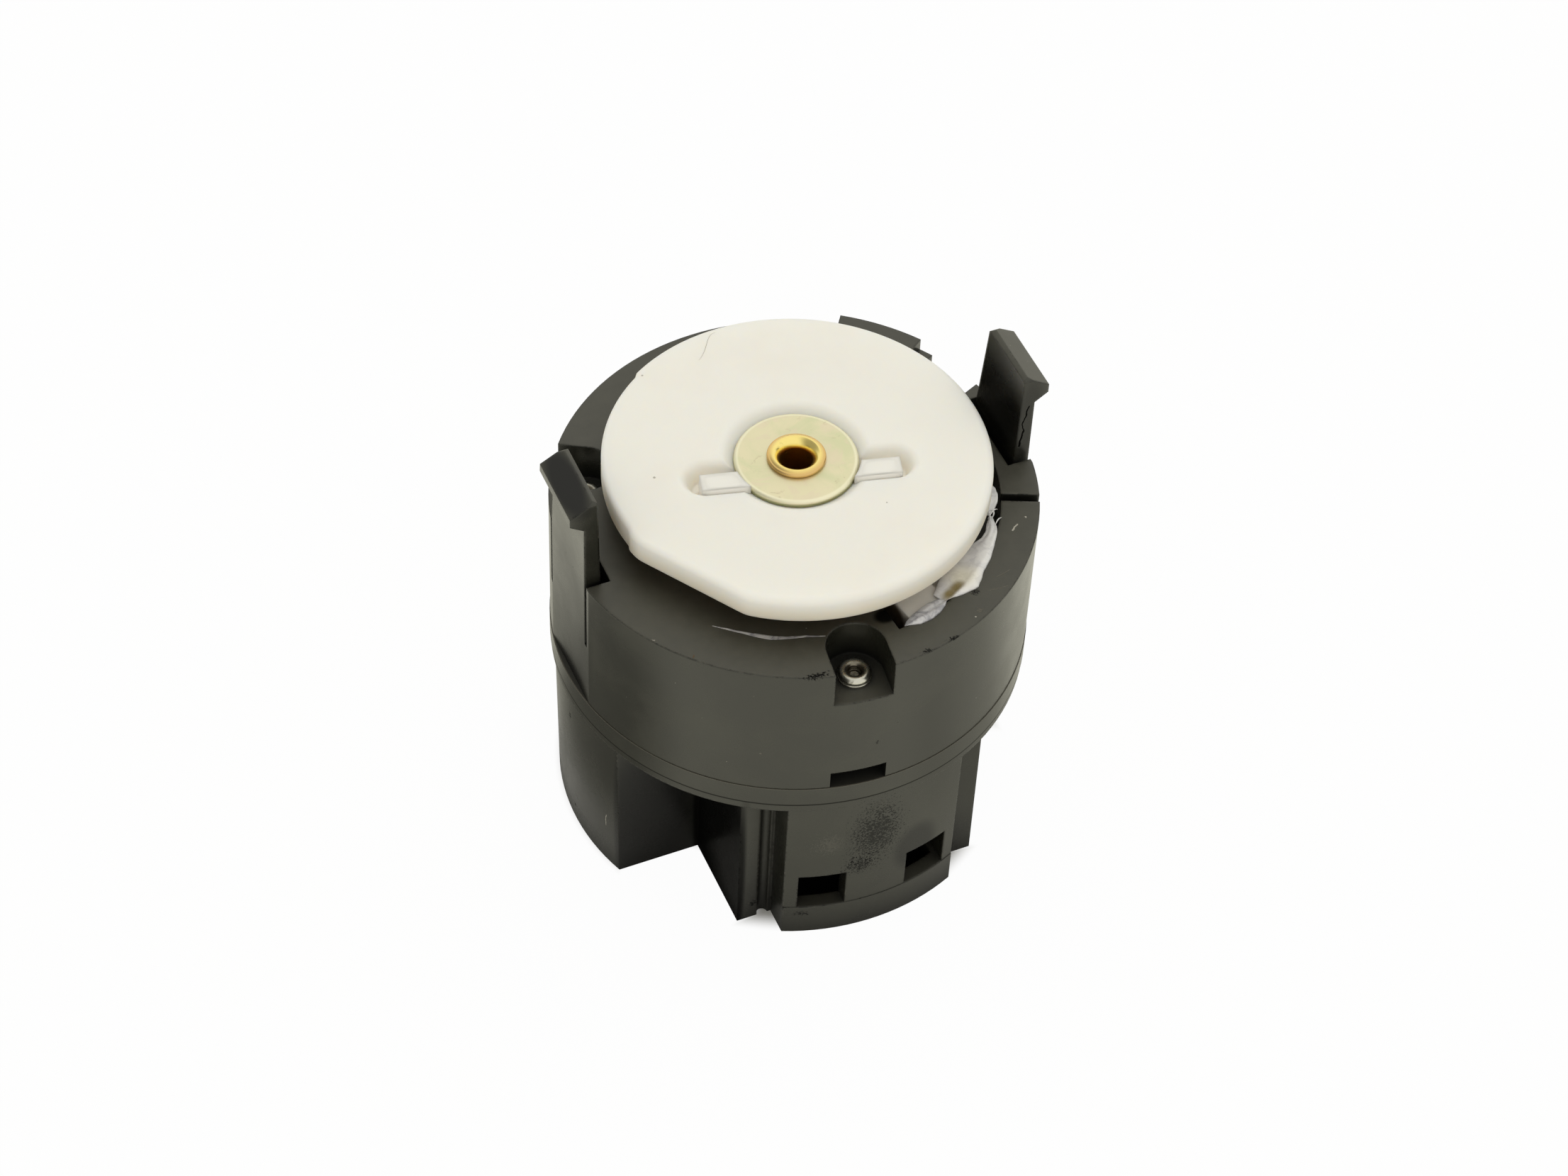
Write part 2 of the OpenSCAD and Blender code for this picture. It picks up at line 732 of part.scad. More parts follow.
// The flat on the disc's edge, rounded at the top as the rest of the edge is
module disc_flat_cut() {
    rotate([0, 0, disc_flat_angle]) {
        translate([disc_flat_d, -disc_r, -cut])
            cube([disc_r, 2 * disc_r, disc_t + 2 * cut]);
        translate([disc_flat_d, disc_r, disc_t])
            rotate([90, 0, 0])
                linear_extrude(2 * disc_r)
                    corner_waste(disc_round);
    }
}

// A window with a round far end, for the tang on one side of the axis
module tang_window(side) {
    front = -tang_offset - tang_w / 2 - tang_gap;
    start = sqrt(tang_inner_r ^ 2 - front ^ 2) - tang_gap;
    end_r = tang_window_w / 2;
    rotate([0, 0, tang_angle])
        mirror([side < 0 ? 1 : 0, 0, 0])
            translate([0, front, -cut]) {
                translate([start, 0, 0])
                    cube([window_reach - end_r - start, tang_window_w, disc_t + 2 * cut]);
                translate([window_reach - end_r, end_r, 0])
                    cylinder(r = end_r, h = disc_t + 2 * cut);
            }
}

// The sector of the disc's edge that is set back
module disc_relief_cut() {
    translate([0, 0, -cut])
        sector(disc_r - disc_relief, beyond, relief_start, relief_end, disc_t + 2 * cut);
}

module drive_disc() {
    color(ivory_plastic)
    translate([0, 0, disc_z])
        difference() {
            rotate_extrude()
                disc_section(disc_r);
            disc_relief_cut();
            disc_flat_cut();
            for (side = [-1, 1])
                tang_window(side);
            translate([0, 0, -cut])
                cylinder(r = eyelet_r + run_gap, h = disc_t + 2 * cut);
        }
}

// Rotor

// The inner ends of the tangs follow the edge of the washer
module drive_tangs() {
    difference() {
        rotate([0, 0, tang_angle])
            translate([-tang_reach, -tang_offset - tang_w / 2, disc_z - cut])
                cube([2 * tang_reach, tang_w, disc_t + tang_out + cut]);
        translate([0, 0, disc_z - 2 * cut])
            cylinder(r = tang_inner_r, h = disc_t + tang_out + 3 * cut);
    }
}

// Children placed at each lug that carries the contact plate round, between the contact bumps
module at_carriers() {
    for (i = [0:2])
        rotate([0, 0, bump_angle + 60 + 120 * i])
            translate([contact_r - carrier_len, 0, 0])
                children();
}

// Children placed at a detent plunger
module at_detent(i) {
    rotate([0, 0, detent_angles[i]])
        translate([detent_circle_r, 0, 0])
            children();
}

module cam_rotor() {
    hub_z = chamber_z + run_gap;
    color(ivory_plastic)
    difference() {
        union() {
            translate([0, 0, hub_z])
                cylinder(r = hub_r, h = rotor_flange_top - hub_z);
            translate([0, 0, rotor_flange_z])
                cylinder(r = flange_r, h = rotor_flange_top - rotor_flange_z);
            translate([0, 0, rotor_flange_z])
                cylinder(r = neck_r, h = disc_z - rotor_flange_z);
            translate([0, 0, lobe_top - lobe_t])
                sector(hub_r, lobe_r, lobe_start, lobe_end, lobe_t);
            drive_tangs();
            at_carriers()
                translate([0, -carrier_w / 2, contact_z])
                    cube([carrier_len, carrier_w, rotor_flange_z - contact_z + cut]);
        }
        translate([0, 0, hub_z - cut])
            cylinder(r = eyelet_r + run_gap, h = disc_z - hub_z + 2 * cut);
        for (i = [0, 1])
            at_detent(i)
                translate([0, 0, detent_foot_z - detent_spring_len])
                    cylinder(r = detent_r + run_gap, h = disc_z);
    }
}

// Contacts and detents

module contact_bump() {
    translate([bump_circle_r, 0, contact_z - bump_h])
        intersection() {
            translate([0, 0, bump_ball_r])
                sphere(r = bump_ball_r, $fn = ball_fn);
            cylinder(r = bump_ball_r, h = bump_h + contact_t / 2);
        }
}

module contact_plate() {
    color(contact_copper)
    union() {
        difference() {
            translate([0, 0, contact_z])
                cylinder(r = contact_r, h = contact_t);
            translate([0, 0, contact_z - cut])
                cylinder(r = hub_r + roof_gap, h = contact_t + 2 * cut);
            at_carriers()
                translate([-carrier_gap, -carrier_w / 2 - carrier_gap, contact_z - cut])
                    cube([beyond, carrier_w + 2 * carrier_gap, contact_t + 2 * cut]);
        }
        for (i = [0:2])
            rotate([0, 0, bump_angle + 120 * i])
                contact_bump();
    }
}

module contact_spring() {
    color(bright_steel)
    translate([0, 0, contact_top + seat_gap])
        coil(contact_spring_r, contact_wire_r, 3, rotor_flange_z - contact_top - 2 * seat_gap);
}

module detent_plunger(i) {
    color(bright_steel)
    at_detent(i)
        translate([0, 0, detent_foot_z])
            union() {
                cylinder(r = detent_r, h = detent_len - detent_r);
                translate([0, 0, detent_len - detent_r])
                    sphere(r = detent_r, $fn = ball_fn);
            }
}

module detent_spring(i) {
    color(bright_steel)
    at_detent(i)
        translate([0, 0, detent_foot_z - detent_spring_len + seat_gap])
            coil(detent_r * 0.7, detent_wire_r, 4, detent_spring_len - 2 * seat_gap);
}

upper_housing();
terminal_plate();
connector_housing();
housing_rivets();
drive_disc();
cam_rotor();
retaining_washer();
centre_eyelet();
contact_plate();
contact_spring();
detent_plunger(0);  // front_detent_plunger
detent_plunger(1);  // rear_detent_plunger
detent_spring(0);  // front_detent_spring
detent_spring(1);  // rear_detent_spring
terminal(blades[0]);  // battery_terminal
terminal(blades[1]);  // ignition_terminal
terminal(blades[2]);  // starter_terminal
terminal(blades[3]);  // accessory_terminal
terminal(blades[4]);  // lighting_terminal
terminal(blades[5]);  // radio_terminal
terminal(blades[6]);  // key_warning_terminal
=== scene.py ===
import math

import bpy
import numpy as np
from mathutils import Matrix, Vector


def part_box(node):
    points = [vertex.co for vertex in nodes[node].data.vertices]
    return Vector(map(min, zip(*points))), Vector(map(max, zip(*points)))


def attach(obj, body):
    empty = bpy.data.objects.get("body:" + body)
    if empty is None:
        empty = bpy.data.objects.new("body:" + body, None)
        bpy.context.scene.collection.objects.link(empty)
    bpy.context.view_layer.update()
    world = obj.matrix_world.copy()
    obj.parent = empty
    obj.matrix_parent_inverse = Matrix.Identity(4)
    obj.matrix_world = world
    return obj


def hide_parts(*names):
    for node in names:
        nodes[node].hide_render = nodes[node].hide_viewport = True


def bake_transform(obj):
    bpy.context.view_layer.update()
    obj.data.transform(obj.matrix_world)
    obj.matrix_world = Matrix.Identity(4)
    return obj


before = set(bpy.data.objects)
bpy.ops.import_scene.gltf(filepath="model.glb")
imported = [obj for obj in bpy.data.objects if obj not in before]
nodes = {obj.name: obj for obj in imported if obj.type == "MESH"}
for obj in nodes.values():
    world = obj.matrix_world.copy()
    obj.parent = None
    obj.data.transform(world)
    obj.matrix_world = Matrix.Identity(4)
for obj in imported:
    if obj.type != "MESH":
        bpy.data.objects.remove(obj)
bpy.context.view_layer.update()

mm = 0.001
print("frame loaded:", len(nodes), "nodes")


# Shader maths: a wrapped socket, whose operators add the Math nodes that they need
class Sock:
    def __init__(self, tree, out=None):
        self.tree = tree
        self.out = out

    # any node: its type, its settings, then what goes into its sockets
    def node(self, kind, settings=None, sockets=None, out=0):
        made = self.tree.nodes.new(kind)
        for name, value in (settings or {}).items():
            setattr(made, name, value)
        for key, value in (sockets or {}).items():
            if isinstance(value, Sock):
                self.tree.links.new(value.out, made.inputs[key])
            else:
                made.inputs[key].default_value = value
        return Sock(self.tree, made.outputs[out])

    def calc(self, operation, *values):
        return self.node("ShaderNodeMath", {"operation": operation}, dict(enumerate(values)))

    # vector maths, which gives a number for a length, a distance or a product, and else a vector
    def vector(self, operation, *others):
        out = "Value" if operation in ("LENGTH", "DISTANCE", "DOT_PRODUCT") else "Vector"
        sockets = dict(enumerate((self, *others)))
        return self.node("ShaderNodeVectorMath", {"operation": operation}, sockets, out)

    def __add__(self, other):
        return self.calc("ADD", self, other)

    def __sub__(self, other):
        return self.calc("SUBTRACT", self, other)

    def __rsub__(self, other):
        return self.calc("SUBTRACT", other, self)

    def __mul__(self, other):
        return self.calc("MULTIPLY", self, other)

    def __lt__(self, other):
        return self.calc("LESS_THAN", self, other)

    def __gt__(self, other):
        return self.calc("GREATER_THAN", self, other)

    __radd__ = __add__
    __rmul__ = __mul__

    # the greater of two values
    def most(self, other):
        return self.calc("MAXIMUM", self, other)

    # 0 at low, 1 at high, eased between them
    def rise(self, low, high):
        sockets = {"Value": self, "From Min": low, "From Max": high}
        return self.node("ShaderNodeMapRange", {"interpolation_type": "SMOOTHSTEP"}, sockets)

    # from a to b as this mask goes from 0 to 1
    def tint(self, a, b):
        return self.node("ShaderNodeMix", {"data_type": "RGBA"}, {0: self, 6: a, 7: b}, 2)


def rgb(r, g, b):
    return (r, g, b, 1.0)


# The place on the object, in millimetres
def placeInMm(paint):
    where = paint.node("ShaderNodeTexCoord", out="Object")
    return paint.node("ShaderNodeMapping", None, {"Vector": where, "Scale": (1 / mm,) * 3})


def heightOf(vector):
    return vector.node("ShaderNodeSeparateXYZ", None, {0: vector}, "Z")


# Distance from the axis of rotation
def fromAxis(where):
    return where.vector("MULTIPLY", (1, 1, 0)).vector("LENGTH")


# A new material with its Principled shader, and the place on the object in millimetres
def startFinish(name, **constants):
    material = bpy.data.materials.new(name)
    material.use_nodes = True
    shader = material.node_tree.nodes["Principled BSDF"]
    for key, value in constants.items():
        shader.inputs[key.replace("_", " ")].default_value = value
    paint = Sock(material.node_tree)
    return material, paint, shader, placeInMm(paint)


def feed(shader, **links):
    for key, value in links.items():
        value.tree.links.new(value.out, shader.inputs[key.replace("_", " ")])


# Cloudy variation, with about scale blobs per millimetre
def cloud(where, scale, detail=3.0, rough=0.55, twist=0.0):
    sockets = {"Vector": where, "Scale": scale, "Detail": detail, "Roughness": rough, "Distortion": twist}
    return where.node("ShaderNodeTexNoise", None, sockets, "Fac")


# Round specks: one per cell, kept where the cell's own random value passes the share asked for.
# Another random value makes each one smaller, down to the least share of the radius.
def specks(where, perMm, radius, share, shift=(0.0, 0.0, 0.0), least=0.3):
    moved = where.node("ShaderNodeMapping", None, {"Vector": where, "Location": shift})
    settings = {"feature": "F1"}
    sockets = {"Vector": moved, "Scale": perMm}
    dot = where.node("ShaderNodeTexVoronoi", settings, sockets, "Distance")
    cell = where.node("ShaderNodeTexVoronoi", settings, sockets, "Color")
    pick = where.node("ShaderNodeSeparateColor", None, {"Color": cell}, "Red")
    size = where.node("ShaderNodeSeparateColor", None, {"Color": cell}, "Green")
    reach = (size * (1 - least) + least) * (radius * perMm)
    return (pick < share) * (dot < reach)


# A soft ball round a point in millimetres, stretched along each axis
def around(where, middle, reach, soft):
    scale = tuple(1.0 / r for r in reach)
    shift = tuple(-m / r for m, r in zip(middle, reach))
    moved = where.node("ShaderNodeMapping", None, {"Vector": where, "Location": shift, "Scale": scale})
    return moved.vector("LENGTH").rise(1.0, 1.0 - soft)


# Scratches: how far they wander, how the drift varies, how their ends fade, and the full share of their width
scratchLook = {
    "wander": 0.35, "driftScale": 1.6, "driftDetail": 3.0, "before": 0.08, "after": 0.05, "core": 0.4,
}


# A wandering line from one point to another in millimetres, as wide as asked for. Face has a 0 for the
# axis that the marked face looks along, so that the line can't wander off it.
def scratch(where, first, last, width, face):
    before, after, wander = (scratchLook[k] for k in ("before", "after", "wander"))
    span = np.subtract(last, first)
    size = float(np.linalg.norm(span))
    aim = tuple(span / size)
    sockets = {"Vector": where, "Scale": scratchLook["driftScale"], "Detail": scratchLook["driftDetail"]}
    drift = where.node("ShaderNodeTexNoise", None, sockets, "Color")
    bent = drift.vector("MULTIPLY_ADD", (wander,) * 3, where)
    start = tuple(np.add(first, wander / 2))
    near = bent.vector("SUBTRACT", start).vector("MULTIPLY", face)
    along = near.vector("DOT_PRODUCT", aim)
    foot = where.node("ShaderNodeVectorMath", {"operation": "SCALE"}, {0: aim, "Scale": along})
    aside = near.vector("DISTANCE", foot)
    inside = along.rise(-before, after) * along.rise(size + before, size - after)
    return inside * aside.rise(width, width * scratchLook["core"])


# 1 deep in a corner or a hole, 0 out in the open
def crevice(paint, reach, low, high, samples=4):
    openness = paint.node("ShaderNodeAmbientOcclusion", {"samples": samples}, {"Distance": reach * mm}, "AO")
    return openness.rise(high, low)


# The normal rounded over every edge
def roundedNormal(paint, radius, samples=4):
    return paint.node("ShaderNodeBevel", {"samples": samples}, {"Radius": radius * mm})


# 1 on the edges, where the rounded normal turns away from the flat one
def edgeMask(rounded, low=0.02, high=0.22):
    flat = rounded.node("ShaderNodeNewGeometry", out="Normal")
    return (1.0 - rounded.vector("DOT_PRODUCT", flat)).rise(low, high)


def bump(height, normal, strength, distance):
    sockets = {"Height": height, "Normal": normal, "Strength": strength, "Distance": distance * mm}
    return height.node("ShaderNodeBump", None, sockets)


# The end of a plain finish: its grain on the rounded normal, and the links to the shader
def feedGrain(shader, where, look, rounded, colour, rough):
    normal = bump(cloud(where, *look["grainCloud"]), rounded, *look["grainBump"])
    feed(shader, Base_Color=colour, Roughness=rough, Normal=normal)


# Black moulded plastic: warm dark grey, satin, with smudges, dust, flecked edges, local marks and painted
# shade.
# In the looks below, a cloud is its blobs per mm, detail, roughness and twist. Specks are their cells per mm,
# radius, share and shift. A range is where a mask starts and where it is full. A bump is strength and depth.
blackLook = {
    "base": rgb(0.0155, 0.0155, 0.0108),
    "faded": rgb(0.026, 0.026, 0.0185),
    "settled": rgb(0.080, 0.077, 0.061),    # fine dust on faces that look up
    # wornAndLit: lighter, for wear and for painted light on the ledge
    "wornAndLit": rgb(0.105, 0.098, 0.080),
    "dust": rgb(0.42, 0.40, 0.35),
    # grimeAndShade: near black, for grime and for painted shade in corners and shade patches
    "grimeAndShade": rgb(0.0035, 0.0035, 0.0032),
    "rust": rgb(0.10, 0.055, 0.02),
    "gloss": 0.60,
    "edge": 0.24, "crispEdge": 0.03, "edgeBlend": 0.5,    # mm of rounding, and of the height where it changes
    "levelRange": (0.55, 0.95),    # how far up a face looks
    "smudgeCloud": (0.16, 4.0, 0.6, 0.4), "smudgeRange": (0.35, 0.75),
    "mottleCloud": (0.9, 3.0), "settling": 0.40, "evenDust": 0.6, "mottledDust": 0.8,
    "grainCloud": (9.0, 2.0), "raggedCloud": (6.0, 4.0, 0.7),
    "fleckCloud": (1.9, 2.0, 0.7), "fleckRange": (0.52, 0.66), "fleckShare": 0.8,
    "nickCloud": (1.2, 4.0, 0.8), "nickRange": (0.54, 0.60), "nickDull": 0.5,
    "dustSpecks": (0.55, 0.09, 0.16), "fineSpecks": (1.3, 0.045, 0.12, (3.3, 1.7, 5.1)), "dustShare": 0.7,
    "pitSpecks": (1.1, 0.06, 0.16, (7.7, 4.2, 1.3)), "pitShare": 0.8,
    "cornerShadeRange": (0.15, 0.85), "cornerShadeDull": 0.4,
    "rimRange": (30.9, 31.2), "rimOpen": 0.65,    # the top of the rim counts as less deep
    "markSoft": 0.9, "markCore": 0.22, "markRange": (0.64, 0.74), "markEdge": 0.3, "markDull": 0.6,
    "cutShare": 0.95, "cutDull": 0.85, "shadePatchSoft": 0.5,
    "ledgeDrop": (0.05, 0.01), "ledgeR": (18.94, 18.99),
    "seamWidth": (0.15, 0.05), "seamDull": 0.75,
    "rough": 0.20, "smudgeRough": 0.08, "smudgeRoughRange": (0.3, 0.7), "mottleRough": 0.06,
    "levelRough": 0.16, "fleckRough": 0.15, "soiledRough": 0.3, "deepRough": 0.3,
    "dustLift": 1.5, "grainBump": (0.05, 0.02), "soilBump": (0.5, 0.08),
}


# Each mark: its middle, its reach along each axis, its colour and its strength. Each line: two ends, width,
# face and colour. Each shade patch is painted shade: middle, reach and strength. Edges are crisp below the
# height sharpBelow. A seam is a dark line at one height where two parts meet, painted as the thin shadow
# under the plate's lip. A ledge is painted lighter above its height near the outside: painted light that
# hides the dark line in its corner. Grime doesn't shine, and deep corners get painted shade, so there the
# shader mixes to a dark matte one.
def blackPlastic(
        name, marks=(), lines=(), shadePatches=(), seed=0.0, cornerShadeReach=3.0, sharpBelow=0.0, seam=None, ledge=None):
    look = blackLook
    material, paint, shader, where = startFinish(name, Specular_IOR_Level=look["gloss"])
    height = heightOf(where)
    softness = height.rise(sharpBelow - look["edgeBlend"], sharpBelow + look["edgeBlend"])
    rounded = roundedNormal(paint, softness * look["edge"] + look["crispEdge"])
    edge = edgeMask(rounded)
    facing = paint.node("ShaderNodeNewGeometry", out="Normal")
    upward = heightOf(facing).rise(*look["levelRange"])
    shifted = paint.node("ShaderNodeMapping", None, {"Vector": where, "Location": (seed, 2 * seed, 0.0)})
    smudge = cloud(shifted, *look["smudgeCloud"])
    mottle = cloud(shifted, *look["mottleCloud"])
    grain = cloud(where, *look["grainCloud"])
    ragged = cloud(where, *look["raggedCloud"])
    rimTop = upward * height.rise(*look["rimRange"])
    # painted shade: corners and holes are darkened and dulled by this occlusion mask
    cornerShade = crevice(paint, cornerShadeReach, *look["cornerShadeRange"]) * (1.0 - rimTop * look["rimOpen"])
    colour = smudge.rise(*look["smudgeRange"]).tint(look["base"], look["faded"])
    settled = upward * (look["evenDust"] + mottle * look["mottledDust"]) * look["settling"]
    colour = settled.tint(colour, look["settled"])
    flecks = edge * cloud(shifted, *look["fleckCloud"]).rise(*look["fleckRange"])
    colour = (flecks * look["fleckShare"]).tint(colour, look["wornAndLit"])
    nicks = edge * cloud(shifted, *look["nickCloud"]).rise(*look["nickRange"])
    colour = nicks.tint(colour, look["grimeAndShade"])
    dust = specks(where, *look["dustSpecks"]) + specks(where, *look["fineSpecks"])
    colour = (dust * look["dustShare"]).tint(colour, look["dust"])
    soiled = specks(where, *look["pitSpecks"])
    colour = (soiled * look["pitShare"]).tint(colour, look["grimeAndShade"])
    dull = cornerShade * look["cornerShadeDull"] + nicks * look["nickDull"]
    for middle, reach, kind, strength in marks:
        core = around(where, middle, reach, look["markSoft"]) * look["markCore"]
        patch = (core + ragged).rise(*look["markRange"]) * strength
        patch = patch * around(where, middle, reach, look["markEdge"])
        colour = patch.tint(colour, look[kind])
        soiled = soiled + patch
        if kind == "grimeAndShade":
            dull = dull + patch * look["markDull"]
    for first, last, width, face, kind in lines:
        cut = scratch(where, first, last, width, face)
        colour = (cut * look["cutShare"]).tint(colour, look[kind])
        soiled = soiled + cut
        if kind == "grimeAndShade":
            dull = dull + cut * look["cutDull"]
    # painted shade: corners and holes take the near black colour
    colour = cornerShade.tint(colour, look["grimeAndShade"])
    # painted shade: smooth dark matte patches
    for middle, reach, strength in shadePatches:
        patch = around(where, middle, reach, look["shadePatchSoft"])
        colour = patch.tint(colour, look["grimeAndShade"])
        dull = dull + patch * strength
    # painted light: by the ledge the plate's rim is painted lighter and not dulled, hiding the dark line in
    # its corner
    if ledge:
        low, high = (ledge - drop for drop in look["ledgeDrop"])
        litLedge = height.rise(low, high) * fromAxis(where).rise(*look["ledgeR"])
        colour = litLedge.tint(colour, look["wornAndLit"])
        dull = dull * (1.0 - litLedge)
    # painted shadow: a dark matte line at the joint, for the thin shadow under the plate's lip
    if seam:
        line = paint.calc("ABSOLUTE", height - seam).rise(*look["seamWidth"])
        dull = dull + line * look["seamDull"]
    rough = look["rough"] + smudge.rise(*look["smudgeRoughRange"]) * look["smudgeRough"]
    rough = rough + mottle * look["mottleRough"] + upward * look["levelRough"] + flecks * look["fleckRough"]
    rough = rough + soiled * look["soiledRough"] + cornerShade * look["deepRough"]
    normal = bump(grain + dust * look["dustLift"], rounded, *look["grainBump"])
    normal = bump(soiled * (ragged - 1.0), normal, *look["soilBump"])
    feed(shader, Base_Color=colour, Roughness=rough, Normal=normal)
    shiny = Sock(paint.tree, shader.outputs[0])
    matte = paint.node("ShaderNodeBsdfDiffuse", None, {"Color": look["grimeAndShade"]})
    mixed = paint.node("ShaderNodeMixShader", None, {0: dull, 1: shiny, 2: matte})
    paint.tree.links.new(mixed.out, paint.tree.nodes["Material Output"].inputs["Surface"])
    return material


# Ivory acetal: near white, faintly warm, soft inside, with tiny dirt dots and a warm edge
ivoryLook = {
    "base": rgb(0.925, 0.905, 0.865), "hazy": rgb(0.90, 0.875, 0.83), "warm": rgb(0.80, 0.735, 0.60),
    # blush is a painted warm shading of the side; soilAndShade is grease dirt and painted shade in corners
    "blush": rgb(0.96, 0.83, 0.67), "dirt": rgb(0.22, 0.19, 0.15), "soilAndShade": rgb(0.11, 0.08, 0.05),
    "ior": 1.48, "depth": 1.6, "soft": 0.85, "tintDepth": (1.0, 0.90, 0.74), "edgeSamples": 6,
    "hazeCloud": (0.13, 3.0, 0.5), "hazeRange": (0.45, 0.8), "edgeShare": 0.10,
    "blushDepth": 1.6, "blushShare": 0.75,
    "dirtSpecks": (0.22, 0.07, 0.16, (2.0, 9.1, 0.4)), "dotSoft": 0.4, "dirtShare": 0.6,
    "soilAndShadeReach": 3.0, "soilAndShadeRange": (0.1, 0.8), "soilAndShadeBelow": (32.6, 31.9), "cleanAndLitSoft": 0.9, "shadowSoft": 0.5,
    "rough": 0.36, "roughCloud": (0.7, 3.0), "roughShare": 0.16,
    "grainCloud": (1.4, 3.0), "grainBump": (0.05, 0.05),
}


# Dots are dirt at given places. Below warmBelow the colour turns warmer, as painted warm shading of the
# translucent side. A soiled finish has grease dirt and painted shade in its corners, but for one clean and
# lit ball, and a painted shadow in another.
def ivoryPlastic(name, edgeRadius, dots=(), soft=ivoryLook["soft"], warmBelow=0.0, soiled=None):
    look = ivoryLook
    material, paint, shader, where = startFinish(
        name, IOR=look["ior"], Subsurface_Weight=soft, Subsurface_Radius=look["tintDepth"],
        Subsurface_Scale=look["depth"] * mm)
    rounded = roundedNormal(paint, edgeRadius, look["edgeSamples"])
    haze = cloud(where, *look["hazeCloud"])
    colour = haze.rise(*look["hazeRange"]).tint(look["base"], look["hazy"])
    colour = (edgeMask(rounded) * look["edgeShare"]).tint(colour, look["warm"])
    height = heightOf(where)
    # painted warm shading: below warmBelow the translucent side is tinted peach
    blush = height.rise(warmBelow, warmBelow - look["blushDepth"]) * look["blushShare"]
    colour = blush.tint(colour, look["blush"])
    dirt = specks(where, *look["dirtSpecks"])
    for middle, size in dots:
        dirt = dirt.most(around(where, middle, (size,) * 3, look["dotSoft"]))
    colour = (dirt * look["dirtShare"]).tint(colour, look["dirt"])
    if soiled:
        # grease dirt and painted shade in the corners, less in the clean and lit ball, and a painted shadow
        # in the other ball
        soilAndShade = crevice(paint, look["soilAndShadeReach"], *look["soilAndShadeRange"]) * height.rise(*look["soilAndShadeBelow"])
        cleanAndLit = around(where, soiled["cleanAndLit"], soiled["cleanAndLitReach"], look["cleanAndLitSoft"])
        soilAndShade = soilAndShade * soiled["share"] * (1.0 - cleanAndLit * soiled["cleanAndLitShare"])
        soilAndShade = soilAndShade.most(around(where, soiled["shadowAt"], soiled["shadowReach"], look["shadowSoft"]))
        colour = soilAndShade.tint(colour, look["soilAndShade"])
    rough = look["rough"] + cloud(where, *look["roughCloud"]) * look["roughShare"]
    feedGrain(shader, where, look, rounded, colour, rough)
    return material


# Yellow passivated zinc: pale straw metal with brown stains and a fine roll grain. A lighter ring round the
# rolled edge is a painted highlight, and the side below it is painted darker and greener as painted shade.
zincLook = {
    "base": rgb(0.79, 0.735, 0.515), "green": rgb(0.70, 0.70, 0.46), "stain": rgb(0.36, 0.25, 0.13),
    # ringHighlight is a painted highlight; side is a painted shade for the washer's side
    "rose": rgb(0.78, 0.69, 0.52), "ringHighlight": rgb(0.93, 0.90, 0.70), "side": rgb(0.40, 0.40, 0.22),
    "metallic": 0.85, "edge": 0.10,
    "patchCloud": (0.35, 4.0, 0.6, 0.6), "patchRange": (0.35, 0.7),
    "spotCloud": (0.75, 5.0, 0.7, 0.5), "spotRange": (0.60, 0.74), "spotShare": 0.45,
    "roseCloud": (0.5, 3.0, 0.5, 0.8), "roseRange": (0.5, 0.62), "roseShare": 0.6,
    "ringInner": (4.40, 4.58), "ringOuter": (4.86, 4.70), "ringShare": 0.65, "shadedSideRange": (34.98, 34.80),
    "grainCloud": (6.0, 3.0), "grainBump": (0.06, 0.02),
    "rough": 0.34, "patchRough": 0.16, "spotRough": 0.15,
}


def yellowZinc(name):
    look = zincLook
    material, paint, shader, where = startFinish(name, Metallic=look["metallic"])
    rounded = roundedNormal(paint, look["edge"])
    patch = cloud(where, *look["patchCloud"])
    colour = patch.rise(*look["patchRange"]).tint(look["base"], look["green"])
    spots = cloud(where, *look["spotCloud"]).rise(*look["spotRange"])
    colour = (spots * look["spotShare"]).tint(colour, look["stain"])
    rose = cloud(where, *look["roseCloud"]).rise(*look["roseRange"])
    colour = (rose * look["roseShare"]).tint(colour, look["rose"])
    far = fromAxis(where)
    ring = far.rise(*look["ringInner"]) * far.rise(*look["ringOuter"])
    # painted highlight: a lighter ring round the rolled edge
    colour = (ring * look["ringShare"]).tint(colour, look["ringHighlight"])
    # painted shade: the side below the top is darker and greener
    colour = heightOf(where).rise(*look["shadedSideRange"]).tint(colour, look["side"])
    rough = look["rough"] + patch * look["patchRough"] + spots * look["spotRough"]
    feedGrain(shader, where, look, rounded, colour, rough)
    return material


# Bare metal: one colour, darker stains, and a grain that breaks up the gloss. A turned piece can have
# another colour at its outer edge and in its bore. Hollows get painted shade: dark rings round a brighter
# nub.
metalLook = {
    "edge": 0.06, "stainCloud": (0.9, 5.0, 0.65, 0.3), "stainWidth": 0.14, "stainShare": 0.6,
    "outerRange": (1.7, 2.25), "innerRange": (1.34, 1.25),
    "hollowReach": (0.95, 0.95, 9.0), "nubReach": (0.42, 0.42, 9.0), "hollowSoft": 0.3, "hollowShare": 0.85,
    "grainCloud": (5.0, 3.0), "grainBump": (0.06, 0.02),
    "glossCloud": (0.8, 3.0), "glossShare": 0.14, "stainRough": 0.12,
}


